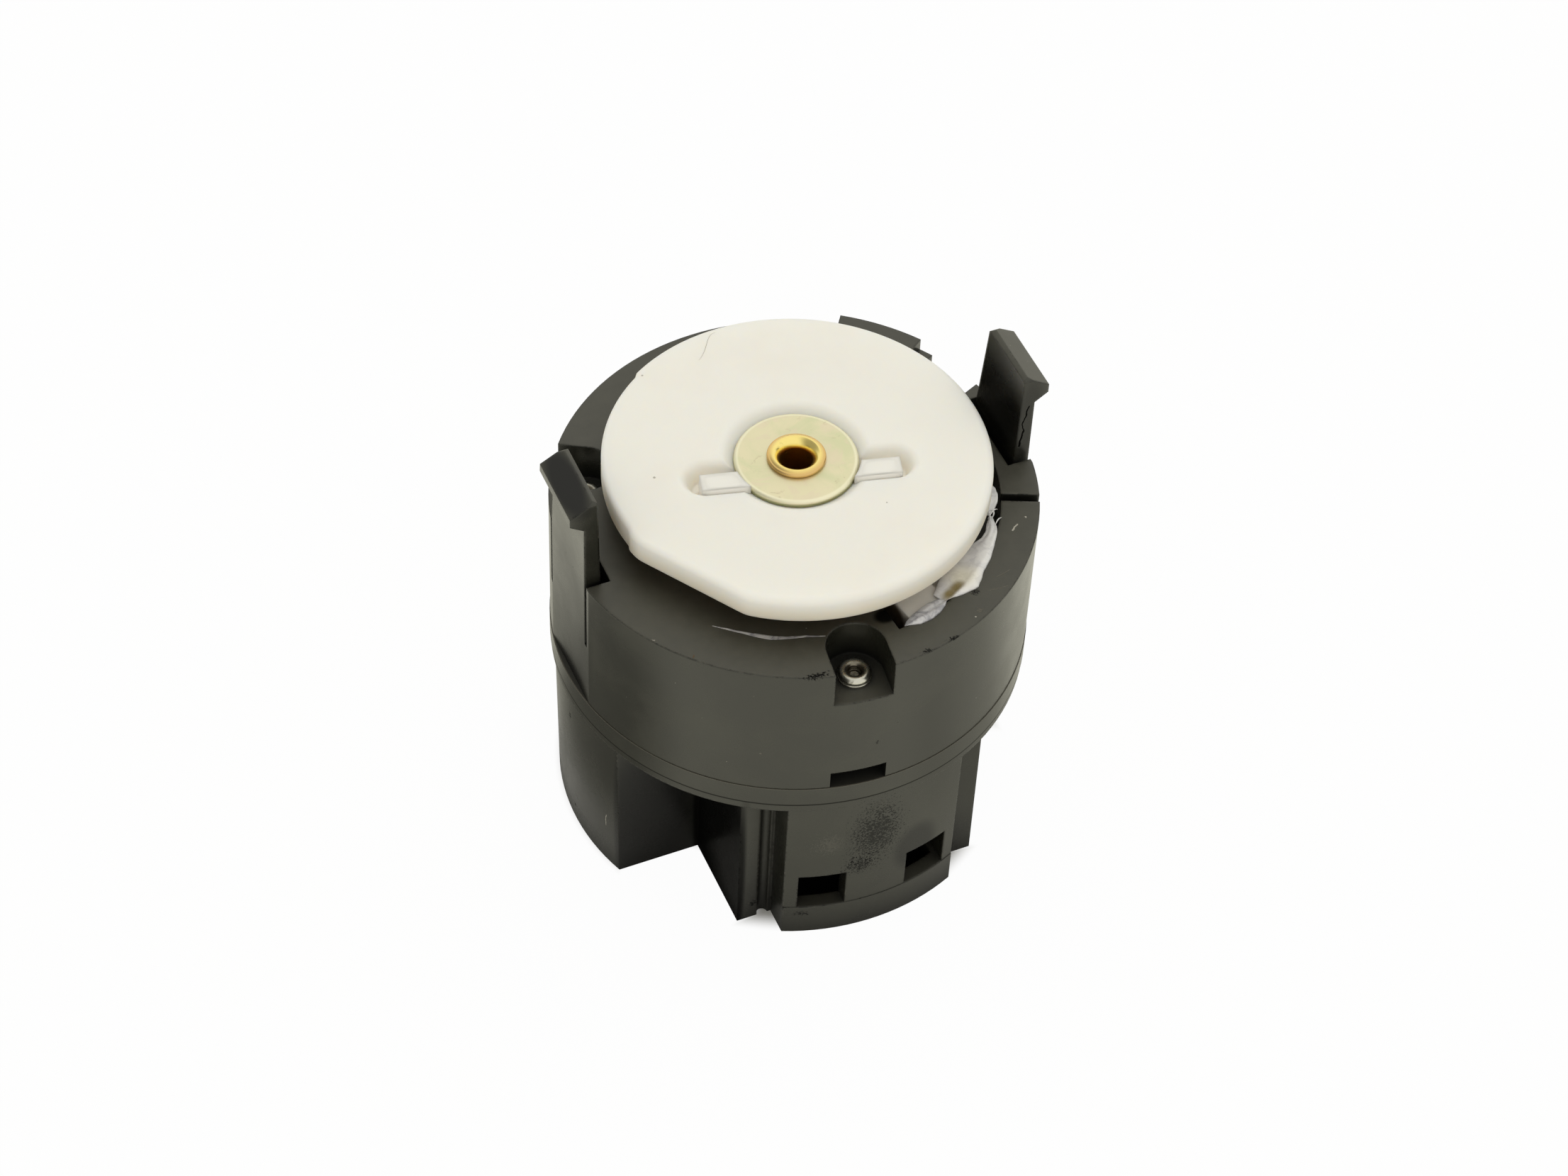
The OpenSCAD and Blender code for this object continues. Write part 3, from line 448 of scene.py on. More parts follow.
def bareMetal(name, base, stainAndShade, rough, stainFrom=0.62, metallic=1.0, outer=None, inner=None, shadedHollows=()):
    look = metalLook
    material, paint, shader, where = startFinish(name, Metallic=metallic)
    rounded = roundedNormal(paint, look["edge"])
    stain = cloud(where, *look["stainCloud"]).rise(stainFrom, stainFrom + look["stainWidth"])
    colour = (stain * look["stainShare"]).tint(base, stainAndShade)
    if outer:
        far = fromAxis(where)
        colour = far.rise(*look["outerRange"]).tint(colour, outer)
        colour = far.rise(*look["innerRange"]).tint(colour, inner)
    # painted shade: a dark ring in each hollow, round a brighter nub
    for middle in shadedHollows:
        hollow = around(where, middle, look["hollowReach"], look["hollowSoft"])
        nub = around(where, middle, look["nubReach"], look["hollowSoft"])
        colour = (hollow * (1.0 - nub) * look["hollowShare"]).tint(colour, stainAndShade)
    shine = rough + cloud(where, *look["glossCloud"]) * look["glossShare"] + stain * look["stainRough"]
    feedGrain(shader, where, look, rounded, colour, shine)
    return material


# Marks seen on the body, in millimetres
onFront, onTop, onSide = (1, 0, 1), (1, 1, 0), (0, 1, 1)
upperMarks = [
    ((-0.98, -18.97, 22.7), (0.32, 0.4, 0.45), "grimeAndShade", 1.0),
    ((-9.54, -16.43, 22.3), (0.22, 0.22, 0.22), "wornAndLit", 1.0),
    ((5.14, -18.2, 31.3), (1.0, 0.35, 0.3), "grimeAndShade", 1.0),
    ((2.78, -18.64, 31.3), (0.9, 0.35, 0.3), "grimeAndShade", 1.0),
    ((8.6, -14.6, 31.3), (0.7, 0.5, 0.3), "grimeAndShade", 0.9),
    ((15.55, -8.96, 31.3), (0.16, 0.16, 0.16), "dust", 1.0),
    ((8.13, -16.34, 31.3), (0.5, 0.5, 0.3), "wornAndLit", 0.8),
    ((-15.88, -10.15, 31.2), (0.26, 0.26, 0.26), "dust", 0.9),
    ((-13.69, -12.74, 31.3), (0.22, 0.22, 0.22), "rust", 1.0),
    ((-6.2, -17.9, 31.25), (2.4, 0.55, 0.45), "grimeAndShade", 1.4),
    ((-2.5, -18.8, 31.25), (2.2, 0.5, 0.45), "grimeAndShade", 1.4),
]
upperLines = [
    ((18.15, -3.1, 36.9), (17.75, -3.1, 35.2), 0.09, onFront, "grimeAndShade"),
    ((17.75, -3.1, 35.2), (17.9, -3.1, 34.3), 0.07, onFront, "grimeAndShade"),
    ((17.9, -3.1, 34.3), (17.6, -3.1, 32.6), 0.11, onFront, "grimeAndShade"),
    ((14.6, -9.4, 31.3), (14.0, -9.9, 31.3), 0.07, onTop, "dust"),
    ((10.7, -13.8, 31.3), (12.0, -13.5, 31.3), 0.05, onTop, "wornAndLit"),
    ((9.7, -14.9, 31.3), (11.3, -14.9, 31.3), 0.04, onTop, "wornAndLit"),
]
connectorMarks = [
    ((-0.4, -18.9, 11.4), (4.0, 2.5, 6.5), "grimeAndShade", 0.75),
    ((-1.6, -18.8, 7.7), (2.2, 1.4, 1.9), "grimeAndShade", 0.9),
    ((-6.0, -17.9, 2.3), (1.2, 0.7, 0.6), "grimeAndShade", 0.9),
    ((-8.97, -15.1, 1.7), (0.5, 0.4, 0.7), "grimeAndShade", 0.9),
    ((-10.3, -14.1, 11.9), (0.16, 0.16, 0.16), "dust", 1.0),
    ((-18.64, 0.24, 12.4), (0.4, 0.35, 0.7), "grimeAndShade", 1.0),
    ((-4.0, -18.3, 11.0), (2.6, 1.2, 2.4), "wornAndLit", 0.35),
    ((-18.4, -0.36, 1.6), (0.4, 0.4, 0.4), "grimeAndShade", 0.9),
]
connectorLines = [((-17.75, -5.35, 5.7), (-17.73, -5.31, 4.3), 0.05, onSide, "dust")]
# Painted shade as smooth dark patches: on the hooks and at the end of the opening
upperShadePatches = [
    ((17.2, 0.0, 35.6), (0.55, 5.0, 7.0), 0.25),
    ((-17.2, 0.0, 35.0), (0.5, 5.0, 6.0), 0.2),
    ((1.3, -14.3, 31.3), (1.2, 0.9, 0.4), 0.9),
    ((18.3, -3.2, 35.5), (1.6, 0.4, 6.0), 0.18),
    ((-18.6, 0.0, 24.5), (0.5, 5.0, 11.0), 0.13),
    ((-18.8, 0.0, 39.3), (1.6, 5.0, 1.6), 0.1),
]
# Painted shade on the two faces of the notch, and beside the latch windows
connectorShadePatches = [
    ((-10.3, -11.5, 6.0), (0.8, 9.0, 14.0), 0.75),
    ((-15.0, -6.8, 6.0), (5.5, 0.8, 12.0), 0.24),
    ((3.4, -18.6, 7.6), (2.6, 1.5, 3.4), 0.2),
]
discDots = [
    ((-7.8, 12.25, 35.3), 0.16), ((-11.03, 1.71, 35.4), 0.13), ((-0.19, 5.75, 35.1), 0.14),
    ((-11.46, -8.25, 35.0), 0.14), ((4.38, -7.11, 35.4), 0.08),
]
# The rotor has grease dirt and painted shade in its corners but for the face of the lobe, and a painted
# shadow at its left end
rotorSoilAndShade = {
    "share": 0.5, "cleanAndLit": (7.8, -12.2, 30.9), "cleanAndLitReach": (5.0, 5.0, 3.0), "cleanAndLitShare": 0.95,
    "shadowAt": (2.6, -13.0, 29.2), "shadowReach": (0.75, 3.0, 2.2),
}
rivets = {"turns": (-97, 24, 150), "r": 16.4, "z": 28.2}
rivetMiddles = [
    (rivets["r"] * math.cos(turn), rivets["r"] * math.sin(turn), rivets["z"])
    for turn in np.radians(rivets["turns"])]
plateEdges = {"low": 16.3, "high": 18.2}

upperBlack = blackPlastic("upperBlack", upperMarks, upperLines, upperShadePatches, seed=3.0, sharpBelow=20.0)
plateBlack = blackPlastic(
    "plateBlack", seed=11.0, sharpBelow=30.0, seam=plateEdges["low"], ledge=plateEdges["high"])
connectorBlack = blackPlastic(
    "connectorBlack", connectorMarks, connectorLines, connectorShadePatches,
    seed=7.0, cornerShadeReach=6.0, seam=plateEdges["low"])
ivoryRotor = ivoryPlastic("ivoryRotor", 0.40, soft=0.3, soiled=rotorSoilAndShade)
ivoryDrive = ivoryPlastic("ivoryDrive", 0.20, discDots, warmBelow=34.9)
washerZinc = yellowZinc("washerZinc")
# The eyelet's outer edge and its bore are painted darker: painted shade.
eyeletBrass = bareMetal(
    "eyeletBrass", rgb(0.97, 0.80, 0.29), rgb(0.45, 0.28, 0.08), 0.16, metallic=0.96,
    outer=rgb(0.72, 0.48, 0.19), inner=rgb(0.5, 0.28, 0.05))
bladeBrass = bareMetal("bladeBrass", rgb(0.78, 0.58, 0.24), rgb(0.40, 0.26, 0.10), 0.26)
rivetSteel = bareMetal(
    "rivetSteel", rgb(0.60, 0.59, 0.53), rgb(0.12, 0.10, 0.07), 0.2, stainFrom=0.52, shadedHollows=rivetMiddles)
springSteel = bareMetal("springSteel", rgb(0.55, 0.54, 0.52), rgb(0.25, 0.22, 0.19), 0.28)
contactCopper = bareMetal("contactCopper", rgb(0.72, 0.40, 0.22), rgb(0.32, 0.16, 0.08), 0.28)


# Dress every node that stays as CAD
def dress(names, material):
    for name in names:
        nodes[name].material_slots[0].material = material


dress(["upper_housing"], upperBlack)
dress(["terminal_plate"], plateBlack)
dress(["connector_housing"], connectorBlack)
dress(["cam_rotor"], ivoryRotor)
dress(["housing_rivets"], rivetSteel)
dress(["contact_plate"], contactCopper)
dress([name for name in nodes if name.endswith("_terminal")], bladeBrass)
dress([name for name in nodes if name.endswith("_plunger")], springSteel)
print("finishes made:", len(bpy.data.materials))


# A new object in the scene
def show(name, data):
    made = bpy.data.objects.new(name, data)
    bpy.context.scene.collection.objects.link(made)
    return made


# A grid of points in mm, rows by columns, as a closed piece: the columns wrap round,
# and the rows wrap round too or end in flat caps. Faces are turned to point outwards.
# A piece without a body is attached to none.
def gridPiece(name, points, material, body, wrapRows):
    rows, columns = points.shape[:2]
    index = np.arange(rows * columns).reshape(rows, columns)
    here = index if wrapRows else index[:-1]
    there = np.roll(index, -1, 0) if wrapRows else index[1:]
    quads = np.stack([here, there, np.roll(there, -1, 1), np.roll(here, -1, 1)], -1).reshape(-1, 4)
    flat = points.reshape(-1, 3)
    a, b, c, d = (flat[quads[:, k]] for k in range(4))
    inside = np.einsum("ij,ij->i", a, np.cross(b, c)) + np.einsum("ij,ij->i", a, np.cross(c, d))
    caps = [] if wrapRows else [index[0].tolist(), index[-1][::-1].tolist()]
    faces = quads.tolist() + caps
    if inside.sum() < 0:
        faces = [face[::-1] for face in faces]
    mesh = bpy.data.meshes.new(name)
    mesh.from_pydata((flat * mm).tolist(), [], faces)
    mesh.polygons.foreach_set("use_smooth", np.ones(len(mesh.polygons), bool))
    mesh.materials.append(material)
    piece = show(name, mesh)
    if body:
        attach(piece, body)
    return piece


# Angles once round, without the last, which is the first again
def fullTurn(steps):
    return np.linspace(0, 2 * np.pi, steps, endpoint=False)


# Radius and height pairs turned once round the axis: x is r times cos, y is r times sin
def turnProfile(radius, height, steps):
    turn = fullTurn(steps)
    x, y = (np.outer(radius, wave) for wave in (np.cos(turn), np.sin(turn)))
    return np.stack([x, y, np.outer(height, np.ones(steps))], -1)


# A quarter or more of a circle as two arrays, from one angle to another in degrees
def arc(centreR, centreZ, r, first, last, steps):
    a = np.radians(np.linspace(first, last, steps))
    return centreR + r * np.cos(a), centreZ + r * np.sin(a)


# Ivory drive disc
disc = {
    "bore": 1.65, "radius": 15.15, "foot": 33.0, "top": 35.4, "under": 0.5,
    "edge": (0.3, 0.7), "edgeTurn": -85.0, "edgePower": 1.5,    # least and most rounding, most at edgeTurn
    "flatDepth": 14.35, "flatTurn": -146.5, "flatFacing": 0.5, "ease": 0.06,
    "relief": 0.2, "reliefFrom": 123.0, "reliefTo": 190.0, "reliefEase": 0.6,
    "well": 5.25, "wellDepth": 0.85, "wellLip": (0.9, 0.5),     # width and drop of the rolled lip
    "lineTurn": -14.0, "lineY": -1.5, "windowR": 1.5, "windowEnd": 7.3, "windowStart": 4.3,
    "windowLip": (0.7, 0.45), "windowDepth": 1.6, "slope": 0.45, "roll": 2.3,
    "innerEnd": 4.2, "innerRows": 4, "hollowR": (4.3, 9.6), "hollowRows": 64, "outerRows": 8,
    "edgeRows": 12, "underRows": 5, "footR": 8.0, "steps": 480, "sharp": 60.0,
}


# How far a hollow drops below the top at a distance from its wall: a power curve that
# rolls over the edge, then a steep wall down to the floor
def hollowDrop(away, lip, depth):
    wide, drop = lip
    rolled = drop * np.clip(1 - away / wide, 0, 1) ** disc["roll"]
    wall = np.clip(-away / disc["slope"], 0, 1) * (depth - drop)
    return rolled + wall


# The top is level, less the deepest hollow there: the round well or one of the two tang windows,
# which are capsules beside the axis
def discTop(x, y):
    turn = math.radians(disc["lineTurn"])
    along = x * math.cos(turn) + y * math.sin(turn)
    across = y * math.cos(turn) - x * math.sin(turn) - disc["lineY"]
    drop = hollowDrop(np.hypot(x, y) - disc["well"], disc["wellLip"], disc["wellDepth"])
    for side in (-1, 1):
        beyond = side * along - np.clip(side * along, disc["windowStart"], disc["windowEnd"])
        away = np.hypot(beyond, across) - disc["windowR"]
        drop = np.maximum(drop, hollowDrop(away, disc["windowLip"], disc["windowDepth"]))
    return disc["top"] - drop


# The edge is a circle, set back over one sector by two tanh steps, and cut by a flat, whose distance is its
# depth over the cosine of the angle from it. The cosine is held to at least flatFacing, where the flat is far
# outside the circle. The lesser of the two is taken softly, by a sum of exponentials.
def discEdge(turn):
    degrees = np.degrees(turn)
    first, last = (np.tanh((degrees - disc[k]) / disc["reliefEase"]) for k in ("reliefFrom", "reliefTo"))
    circle = disc["radius"] - disc["relief"] * (first - last) / 2
    facing = np.cos(turn - math.radians(disc["flatTurn"]))
    flat = disc["flatDepth"] / np.maximum(facing, disc["flatFacing"])
    return -disc["ease"] * np.logaddexp(-circle / disc["ease"], -flat / disc["ease"])


def makeDisc():
    turn = fullTurn(disc["steps"])
    edge = discEdge(turn)
    least, most = disc["edge"]
    nearness = 0.5 + 0.5 * np.cos(turn - math.radians(disc["edgeTurn"]))
    curve = least + (most - least) * nearness ** disc["edgePower"]
    near = np.linspace(disc["bore"], disc["innerEnd"], disc["innerRows"])
    hollow = np.linspace(*disc["hollowR"], disc["hollowRows"])
    inner = np.outer(np.concatenate([near, hollow]), np.ones_like(turn))
    share = np.linspace(0, 1, disc["outerRows"] + 1)[1:, None]
    outer = inner[-1] + (edge - curve - inner[-1]) * share
    top = np.concatenate([inner, outer])
    topZ = discTop(top * np.cos(turn), top * np.sin(turn))
    outR, outZ = (k[1:, None] for k in arc(0, 0, 1, 90, 0, disc["edgeRows"] + 1))
    rim = edge - curve + curve * outR
    rimZ = disc["top"] - curve + curve * outZ
    under = disc["under"]
    underR, underZ = (k[:, None] for k in arc(-under, under, under, 0, -90, disc["underRows"]))
    low = edge + underR
    lowZ = disc["foot"] + underZ + np.zeros_like(low)
    base = np.outer([disc["footR"], disc["bore"]], np.ones_like(turn))
    baseZ = np.full_like(base, disc["foot"])
    radius = np.concatenate([top, rim, low, base])
    height = np.concatenate([topZ, rimZ, lowZ, baseZ])
    points = np.stack([radius * np.cos(turn), radius * np.sin(turn), height], -1)
    piece = gridPiece("ivory_disc", points, ivoryDrive, "rotor", True)
    piece.data.set_sharp_from_angle(angle=math.radians(disc["sharp"]))
    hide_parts("drive_disc")


# Tang caps: each is a box over a drive tang whose section is a power oval, where the sixth powers of the
# two shares of its half sizes add up to one. It draws in by the same rule at its ends, and its inner end
# follows the edge of the washer.
tangs = {
    "across": (-3.1, -1.36), "reach": 7.8, "inner": 4.95, "low": 34.0, "top": 35.63,
    "power": 6.0, "end": 0.999, "rows": 49, "sides": 72,
}


def makeTang(name, side):
    power, turn = tangs["power"], math.radians(disc["lineTurn"])
    share = tangs["end"] * np.sin(np.linspace(-np.pi / 2, np.pi / 2, tangs["rows"]))[:, None]
    draw = (1 - np.abs(share) ** power) ** (1 / power)
    a = fullTurn(tangs["sides"])
    wide, tall = (np.sign(k) * np.abs(k) ** (2 / power) for k in (np.cos(a), np.sin(a)))
    across = np.mean(tangs["across"]) + np.ptp(tangs["across"]) / 2 * draw * wide
    height = (tangs["low"] + tangs["top"]) / 2 + (tangs["top"] - tangs["low"]) / 2 * draw * tall
    start = np.sqrt(tangs["inner"] ** 2 - across ** 2)
    along = side * (start + (tangs["reach"] - start) * (share + 1) / 2)
    x = along * math.cos(turn) - across * math.sin(turn)
    y = along * math.sin(turn) + across * math.cos(turn)
    gridPiece(name, np.stack([x, y, height], -1), ivoryRotor, "rotor", False)


makeDisc()
makeTang("tang_cap_left", -1)
makeTang("tang_cap_right", 1)
print("disc turned, tangs capped")


# Springs: each is a round wire whose middle goes round at one radius and rises evenly with the turn, between
# the ends of its solid. It is attached to no body.
detentWire = {"wire": 0.18, "turns": 4}
springs = {
    "contact_spring": {"piece": "contact_coil", "bodies": ("contact", "rotor"), "wire": 0.35, "turns": 3},
    "front_detent_spring": {"piece": "front_coil", "bodies": ("rotor", "front_detent"), **detentWire},
    "rear_detent_spring": {"piece": "rear_coil", "bodies": ("rotor", "rear_detent"), **detentWire},
}


def makeSpring(node, spring, sides=12, stepsPerTurn=40):
    low, high = (np.array(corner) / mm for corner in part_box(node))
    middle = (low + high) / 2
    wire = spring["wire"]
    share = np.linspace(0, 1, spring["turns"] * stepsPerTurn + 1)[:, None]
    turn = 2 * np.pi * spring["turns"] * share
    section = fullTurn(sides)
    radius = (high[0] - low[0]) / 2 - wire + wire * np.cos(section)
    height = low[2] + wire + (high[2] - low[2] - 2 * wire) * share + wire * np.sin(section)
    points = np.stack([middle[0] + radius * np.cos(turn), middle[1] + radius * np.sin(turn), height], -1)
    piece = gridPiece(spring["piece"], points, springSteel, None, False)
    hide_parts(node)
    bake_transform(piece)


for node, spring in springs.items():
    makeSpring(node, spring)
print("springs wound")


# Washer: a stamped ring, rolled over at its upper edge and sharp below
washer = {
    "bore": 1.64, "radius": 4.84, "middle": 3.2, "low": 34.6, "high": 35.1, "roll": 0.3, "rollRows": 9,
    "burr": 0.06, "burrRows": 4, "steps": 160, "sharp": 50.0,
}


def makeWasher():
    bore, middle, low, high = (washer[k] for k in ("bore", "middle", "low", "high"))
    roll, burr = washer["roll"], washer["burr"]
    upR, upZ = arc(washer["radius"] - roll, high - roll, roll, 90, 0, washer["rollRows"])
    lowR, lowZ = arc(washer["radius"] - burr, low + burr, burr, 0, -90, washer["burrRows"])
    radius = np.concatenate([[bore, bore, middle], upR, lowR, [middle]])
    height = np.concatenate([[low, high, high], upZ, lowZ, [low]])
    points = turnProfile(radius, height, washer["steps"])
    piece = gridPiece("zinc_washer", points, washerZinc, "housing", True)
    piece.data.set_sharp_from_angle(angle=math.radians(washer["sharp"]))
    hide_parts("retaining_washer")


# Eyelet: a tube whose mouth opens half way between a cone and a quarter ellipse, and then slopes out
# over the washer to a rounded edge, with a flat foot below
eyelet = {
    "bore": 1.24, "barrel": 1.6, "seat": 35.105, "mouth": 35.6, "flange": 2.3, "foot": 15.9, "footTop": 16.29,
    "funnelR": 0.58, "funnelZ": 0.8, "funnelRows": 14, "fall": 0.13, "fallPower": 1.6, "fallRows": 6,
    "rollFrom": 80, "rollRows": 10, "steps": 128, "sharp": 50.0,
}


def makeEyelet():
    bore, barrel, flange = (eyelet[k] for k in ("bore", "barrel", "flange"))
    seat, mouth, foot, footTop = (eyelet[k] for k in ("seat", "mouth", "foot", "footTop"))
    up = np.linspace(0, 1, eyelet["funnelRows"])
    a = up * np.pi / 2
    funnelR = bore + eyelet["funnelR"] * (up + 1 - np.cos(a)) / 2
    funnelZ = mouth - eyelet["funnelZ"] * (1 - (up + np.sin(a)) / 2)
    lip = (mouth - eyelet["fall"] - seat) / 2
    out = np.linspace(0, 1, eyelet["fallRows"] + 1)[1:]
    slopeR = funnelR[-1] + (flange - lip - funnelR[-1]) * out
    slopeZ = mouth - eyelet["fall"] * out ** eyelet["fallPower"]
    rollR, rollZ = arc(flange - lip, seat + lip, lip, eyelet["rollFrom"], -90, eyelet["rollRows"])
    radius = np.concatenate([[bore], funnelR, slopeR, rollR, [barrel, barrel, flange, flange]])
    height = np.concatenate([[foot], funnelZ, slopeZ, rollZ, [seat, footTop, footTop, foot]])
    points = turnProfile(radius, height, eyelet["steps"])
    piece = gridPiece("brass_eyelet", points, eyeletBrass, "housing", True)
    piece.data.set_sharp_from_angle(angle=math.radians(eyelet["sharp"]))
    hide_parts("centre_eyelet")


makeWasher()
makeEyelet()
print("washer and eyelet turned")


# Grease: thin sheets on the rim and over the edge of the opening, with threads pulled out of them.
# It is creamy over the lobe, and an amber spot of three balls lies in a row along the rim.
greaseLook = {
    "amber": rgb(0.25, 0.19, 0.07), "amberTurn": -62.9, "amberR": 15.5, "amberZ": 31.4, "amberSize": 0.9,
    "amberReach": 0.75, "amberEven": 0.55, "amberStreak": 0.6, "amberRange": (0.1, 0.95), "amberShare": 0.95,
    "cream": rgb(0.90, 0.86, 0.70), "creamAt": (8.3, -12.9, 31.4), "creamReach": (1.9, 1.9, 1.5),
    "creamSoft": 0.9, "creamShare": 0.7, "ior": 1.47, "soft": 0.35, "depth": 0.4,
    "streakCloud": (1.1, 4.0, 0.6, 0.5), "streakRange": (0.35, 0.65), "rough": 0.20, "streakRough": 0.16,
}


def greaseFinish(name, base, thin):
    look = greaseLook
    material, paint, shader, where = startFinish(
        name, IOR=look["ior"], Subsurface_Weight=look["soft"], Subsurface_Radius=(1.0, 1.0, 1.0),
        Subsurface_Scale=look["depth"] * mm)
    streak = cloud(where, *look["streakCloud"])
    colour = streak.rise(*look["streakRange"]).tint(thin, base)
    creamy = around(where, look["creamAt"], look["creamReach"], look["creamSoft"])
    colour = (creamy * look["creamShare"]).tint(colour, look["cream"])
    turn, r = math.radians(look["amberTurn"]), look["amberR"]
    middle = np.array([r * math.cos(turn), r * math.sin(turn), look["amberZ"]])
    along = look["amberReach"] * np.array([-math.sin(turn), math.cos(turn), 0.0])
    size = (look["amberSize"],) * 3
    first, second, third = (around(where, tuple(middle + k * along), size, 1.0) for k in (-1, 0, 1))
    spot = (first + second + third) * (look["amberEven"] + streak * look["amberStreak"])
    colour = (spot.rise(*look["amberRange"]) * look["amberShare"]).tint(colour, look["amber"])
    feed(shader, Base_Color=colour, Roughness=look["rough"] + streak * look["streakRough"])
    return material


greaseWhite = greaseFinish("greaseWhite", rgb(0.87, 0.87, 0.885), rgb(0.72, 0.72, 0.75))
# Darker copies of the same grease, for sheets in the disc's shadow: painted shade
greaseDeepShade = greaseFinish("greaseDeepShade", rgb(0.40, 0.385, 0.38), rgb(0.20, 0.195, 0.21))
greaseHalfShade = greaseFinish("greaseHalfShade", rgb(0.66, 0.66, 0.69), rgb(0.36, 0.36, 0.40))

# Each sheet: degrees round the axis, inner and outer radius and thickness at keys along it
sheets = {
    "grease_film": {
        "finish": greaseWhite,
        "turn": (-67.5, -64, -60, -57.5, -55, -51.5, -47, -43, -40, -37, -34, -32, -30.5),
        "inner": (14.6, 14.2, 13.9, 13.8, 13.8, 13.9, 14.1, 14.55, 14.95, 15.1, 15.05, 15.1, 15.25),
        "outer": (15.6, 16.2, 16.6, 16.85, 16.7, 16.42, 16.3, 16.2, 16.12, 16.02, 15.8, 15.55, 15.4),
        "thick": (0.10, 0.18, 0.26, 0.32, 0.36, 0.42, 0.45, 0.45, 0.42, 0.36, 0.26, 0.16, 0.06),
    },
    "grease_smear": {
        "finish": greaseHalfShade, "turn": (-82, -80.5, -78, -75, -71.5, -68.5, -66.3),
        "inner": (15.8, 15.45, 15.15, 15.05, 15.0, 15.15, 15.5),
        "outer": (15.9, 16.1, 16.42, 16.5, 16.4, 16.15, 15.75),
        "thick": (0.05, 0.16, 0.28, 0.34, 0.34, 0.24, 0.08),
    },
    "grease_strip": {
        "finish": greaseWhite, "turn": (-30.3, -28, -25, -22, -19.5, -18.3),
        "inner": (15.02, 14.7, 14.6, 14.7, 15.1, 15.4),
        "outer": (15.2, 15.48, 15.74, 15.76, 15.65, 15.5),
        "thick": (0.06, 0.2, 0.28, 0.26, 0.16, 0.05),
    },
    "grease_line": {
        "finish": greaseDeepShade, "allOnRim": True, "turn": (-137, -133, -128, -124, -120, -116, -110, -104.5),
        "inner": (15.32, 15.14, 15.06, 15.0, 15.02, 14.98, 14.82, 14.95),
        "outer": (15.38, 15.30, 15.28, 15.36, 15.42, 15.24, 14.98, 15.02),
        "thick": (0.02, 0.05, 0.06, 0.08, 0.08, 0.06, 0.05, 0.02),
    },
}
# The ground under the sheets, and their waves: size, radians across the sheet and per degree, and start
ground = {
    "low": 31.06, "high": 31.31, "edge": 16.0, "soft": 0.30, "steps": 130, "sides": 36,
    "ragged": ((0.03, 0.0, 0.5, 0.0), (0.012, 0.0, 1.6, 1.0)),
    "fold": ((0.20, 4.2, 0.13, 0.0), (0.05, 8.5, -0.2, 1.3)),
    "crown": 0.7, "under": 0.10,
}


def ripple(kind, across, turn):
    return sum(size * np.sin(wide * across + far * turn + start) for size, wide, far, start in ground[kind])


# Across a sheet the section is a flat oval: its height follows the sine of the angle round it, on ground
# that rises on to the rim at the edge of the opening. Folds run along the sheet and waver with the angle.
def makeSheet(name, sheet):
    t = np.linspace(0, 1, ground["steps"])
    keys = np.linspace(0, 1, len(sheet["turn"]))
    turn, inner, outer, thick = (
        np.interp(t, keys, sheet[k])[:, None] for k in ("turn", "inner", "outer", "thick"))
    a = fullTurn(ground["sides"])
    across = np.cos(a) * np.ones_like(turn)
    ragged = 1 + ripple("ragged", across, turn) * np.abs(across)
    radius = (inner + outer) / 2 + (outer - inner) / 2 * across * ragged
    onRim = np.clip((radius - ground["edge"]) / ground["soft"] + 1, 0, 1)
    if sheet.get("allOnRim"):
        onRim = 1.0
    base = ground["low"] + (ground["high"] - ground["low"]) * onRim
    side = np.abs(np.sin(a))
    crown = side ** ground["crown"] * (1 + ripple("fold", across, turn))
    height = base + thick * np.where(np.sin(a) > 0, crown, -ground["under"] * side)
    angle = np.radians(turn)
    points = np.stack([radius * np.cos(angle), radius * np.sin(angle), height], -1)
    gridPiece(name, points, sheet["finish"], "housing", False)


# A round thread along a cubic through points in mm: rings square to the path, thinner at its ends.
# The lean is a direction that no path follows, which the rings are turned from.
thread = {"thin": 0.06, "endShare": 0.35, "lean": (0.1, 0.2, 1.0), "degree": 3, "steps": 40, "sides": 8}


def makeThread(name, path, thin, material, body):
    t = np.linspace(0, 1, thread["steps"])
    bend = np.polyfit(np.linspace(0, 1, len(path)), np.array(path), thread["degree"])
    centre = np.vander(t, len(bend)) @ bend
    ahead = np.gradient(centre, axis=0)
    ahead /= np.linalg.norm(ahead, axis=1, keepdims=True)
    aside = np.cross(ahead, thread["lean"])
    aside /= np.linalg.norm(aside, axis=1, keepdims=True)
    above = np.cross(aside, ahead)
    a = fullTurn(thread["sides"])[:, None]
    size = thin * (thread["endShare"] + (1 - thread["endShare"]) * np.sin(np.pi * t))[:, None, None]
    points = centre[:, None] + size * (np.cos(a) * aside[:, None] + np.sin(a) * above[:, None])
    gridPiece(name, points, material, body, False)


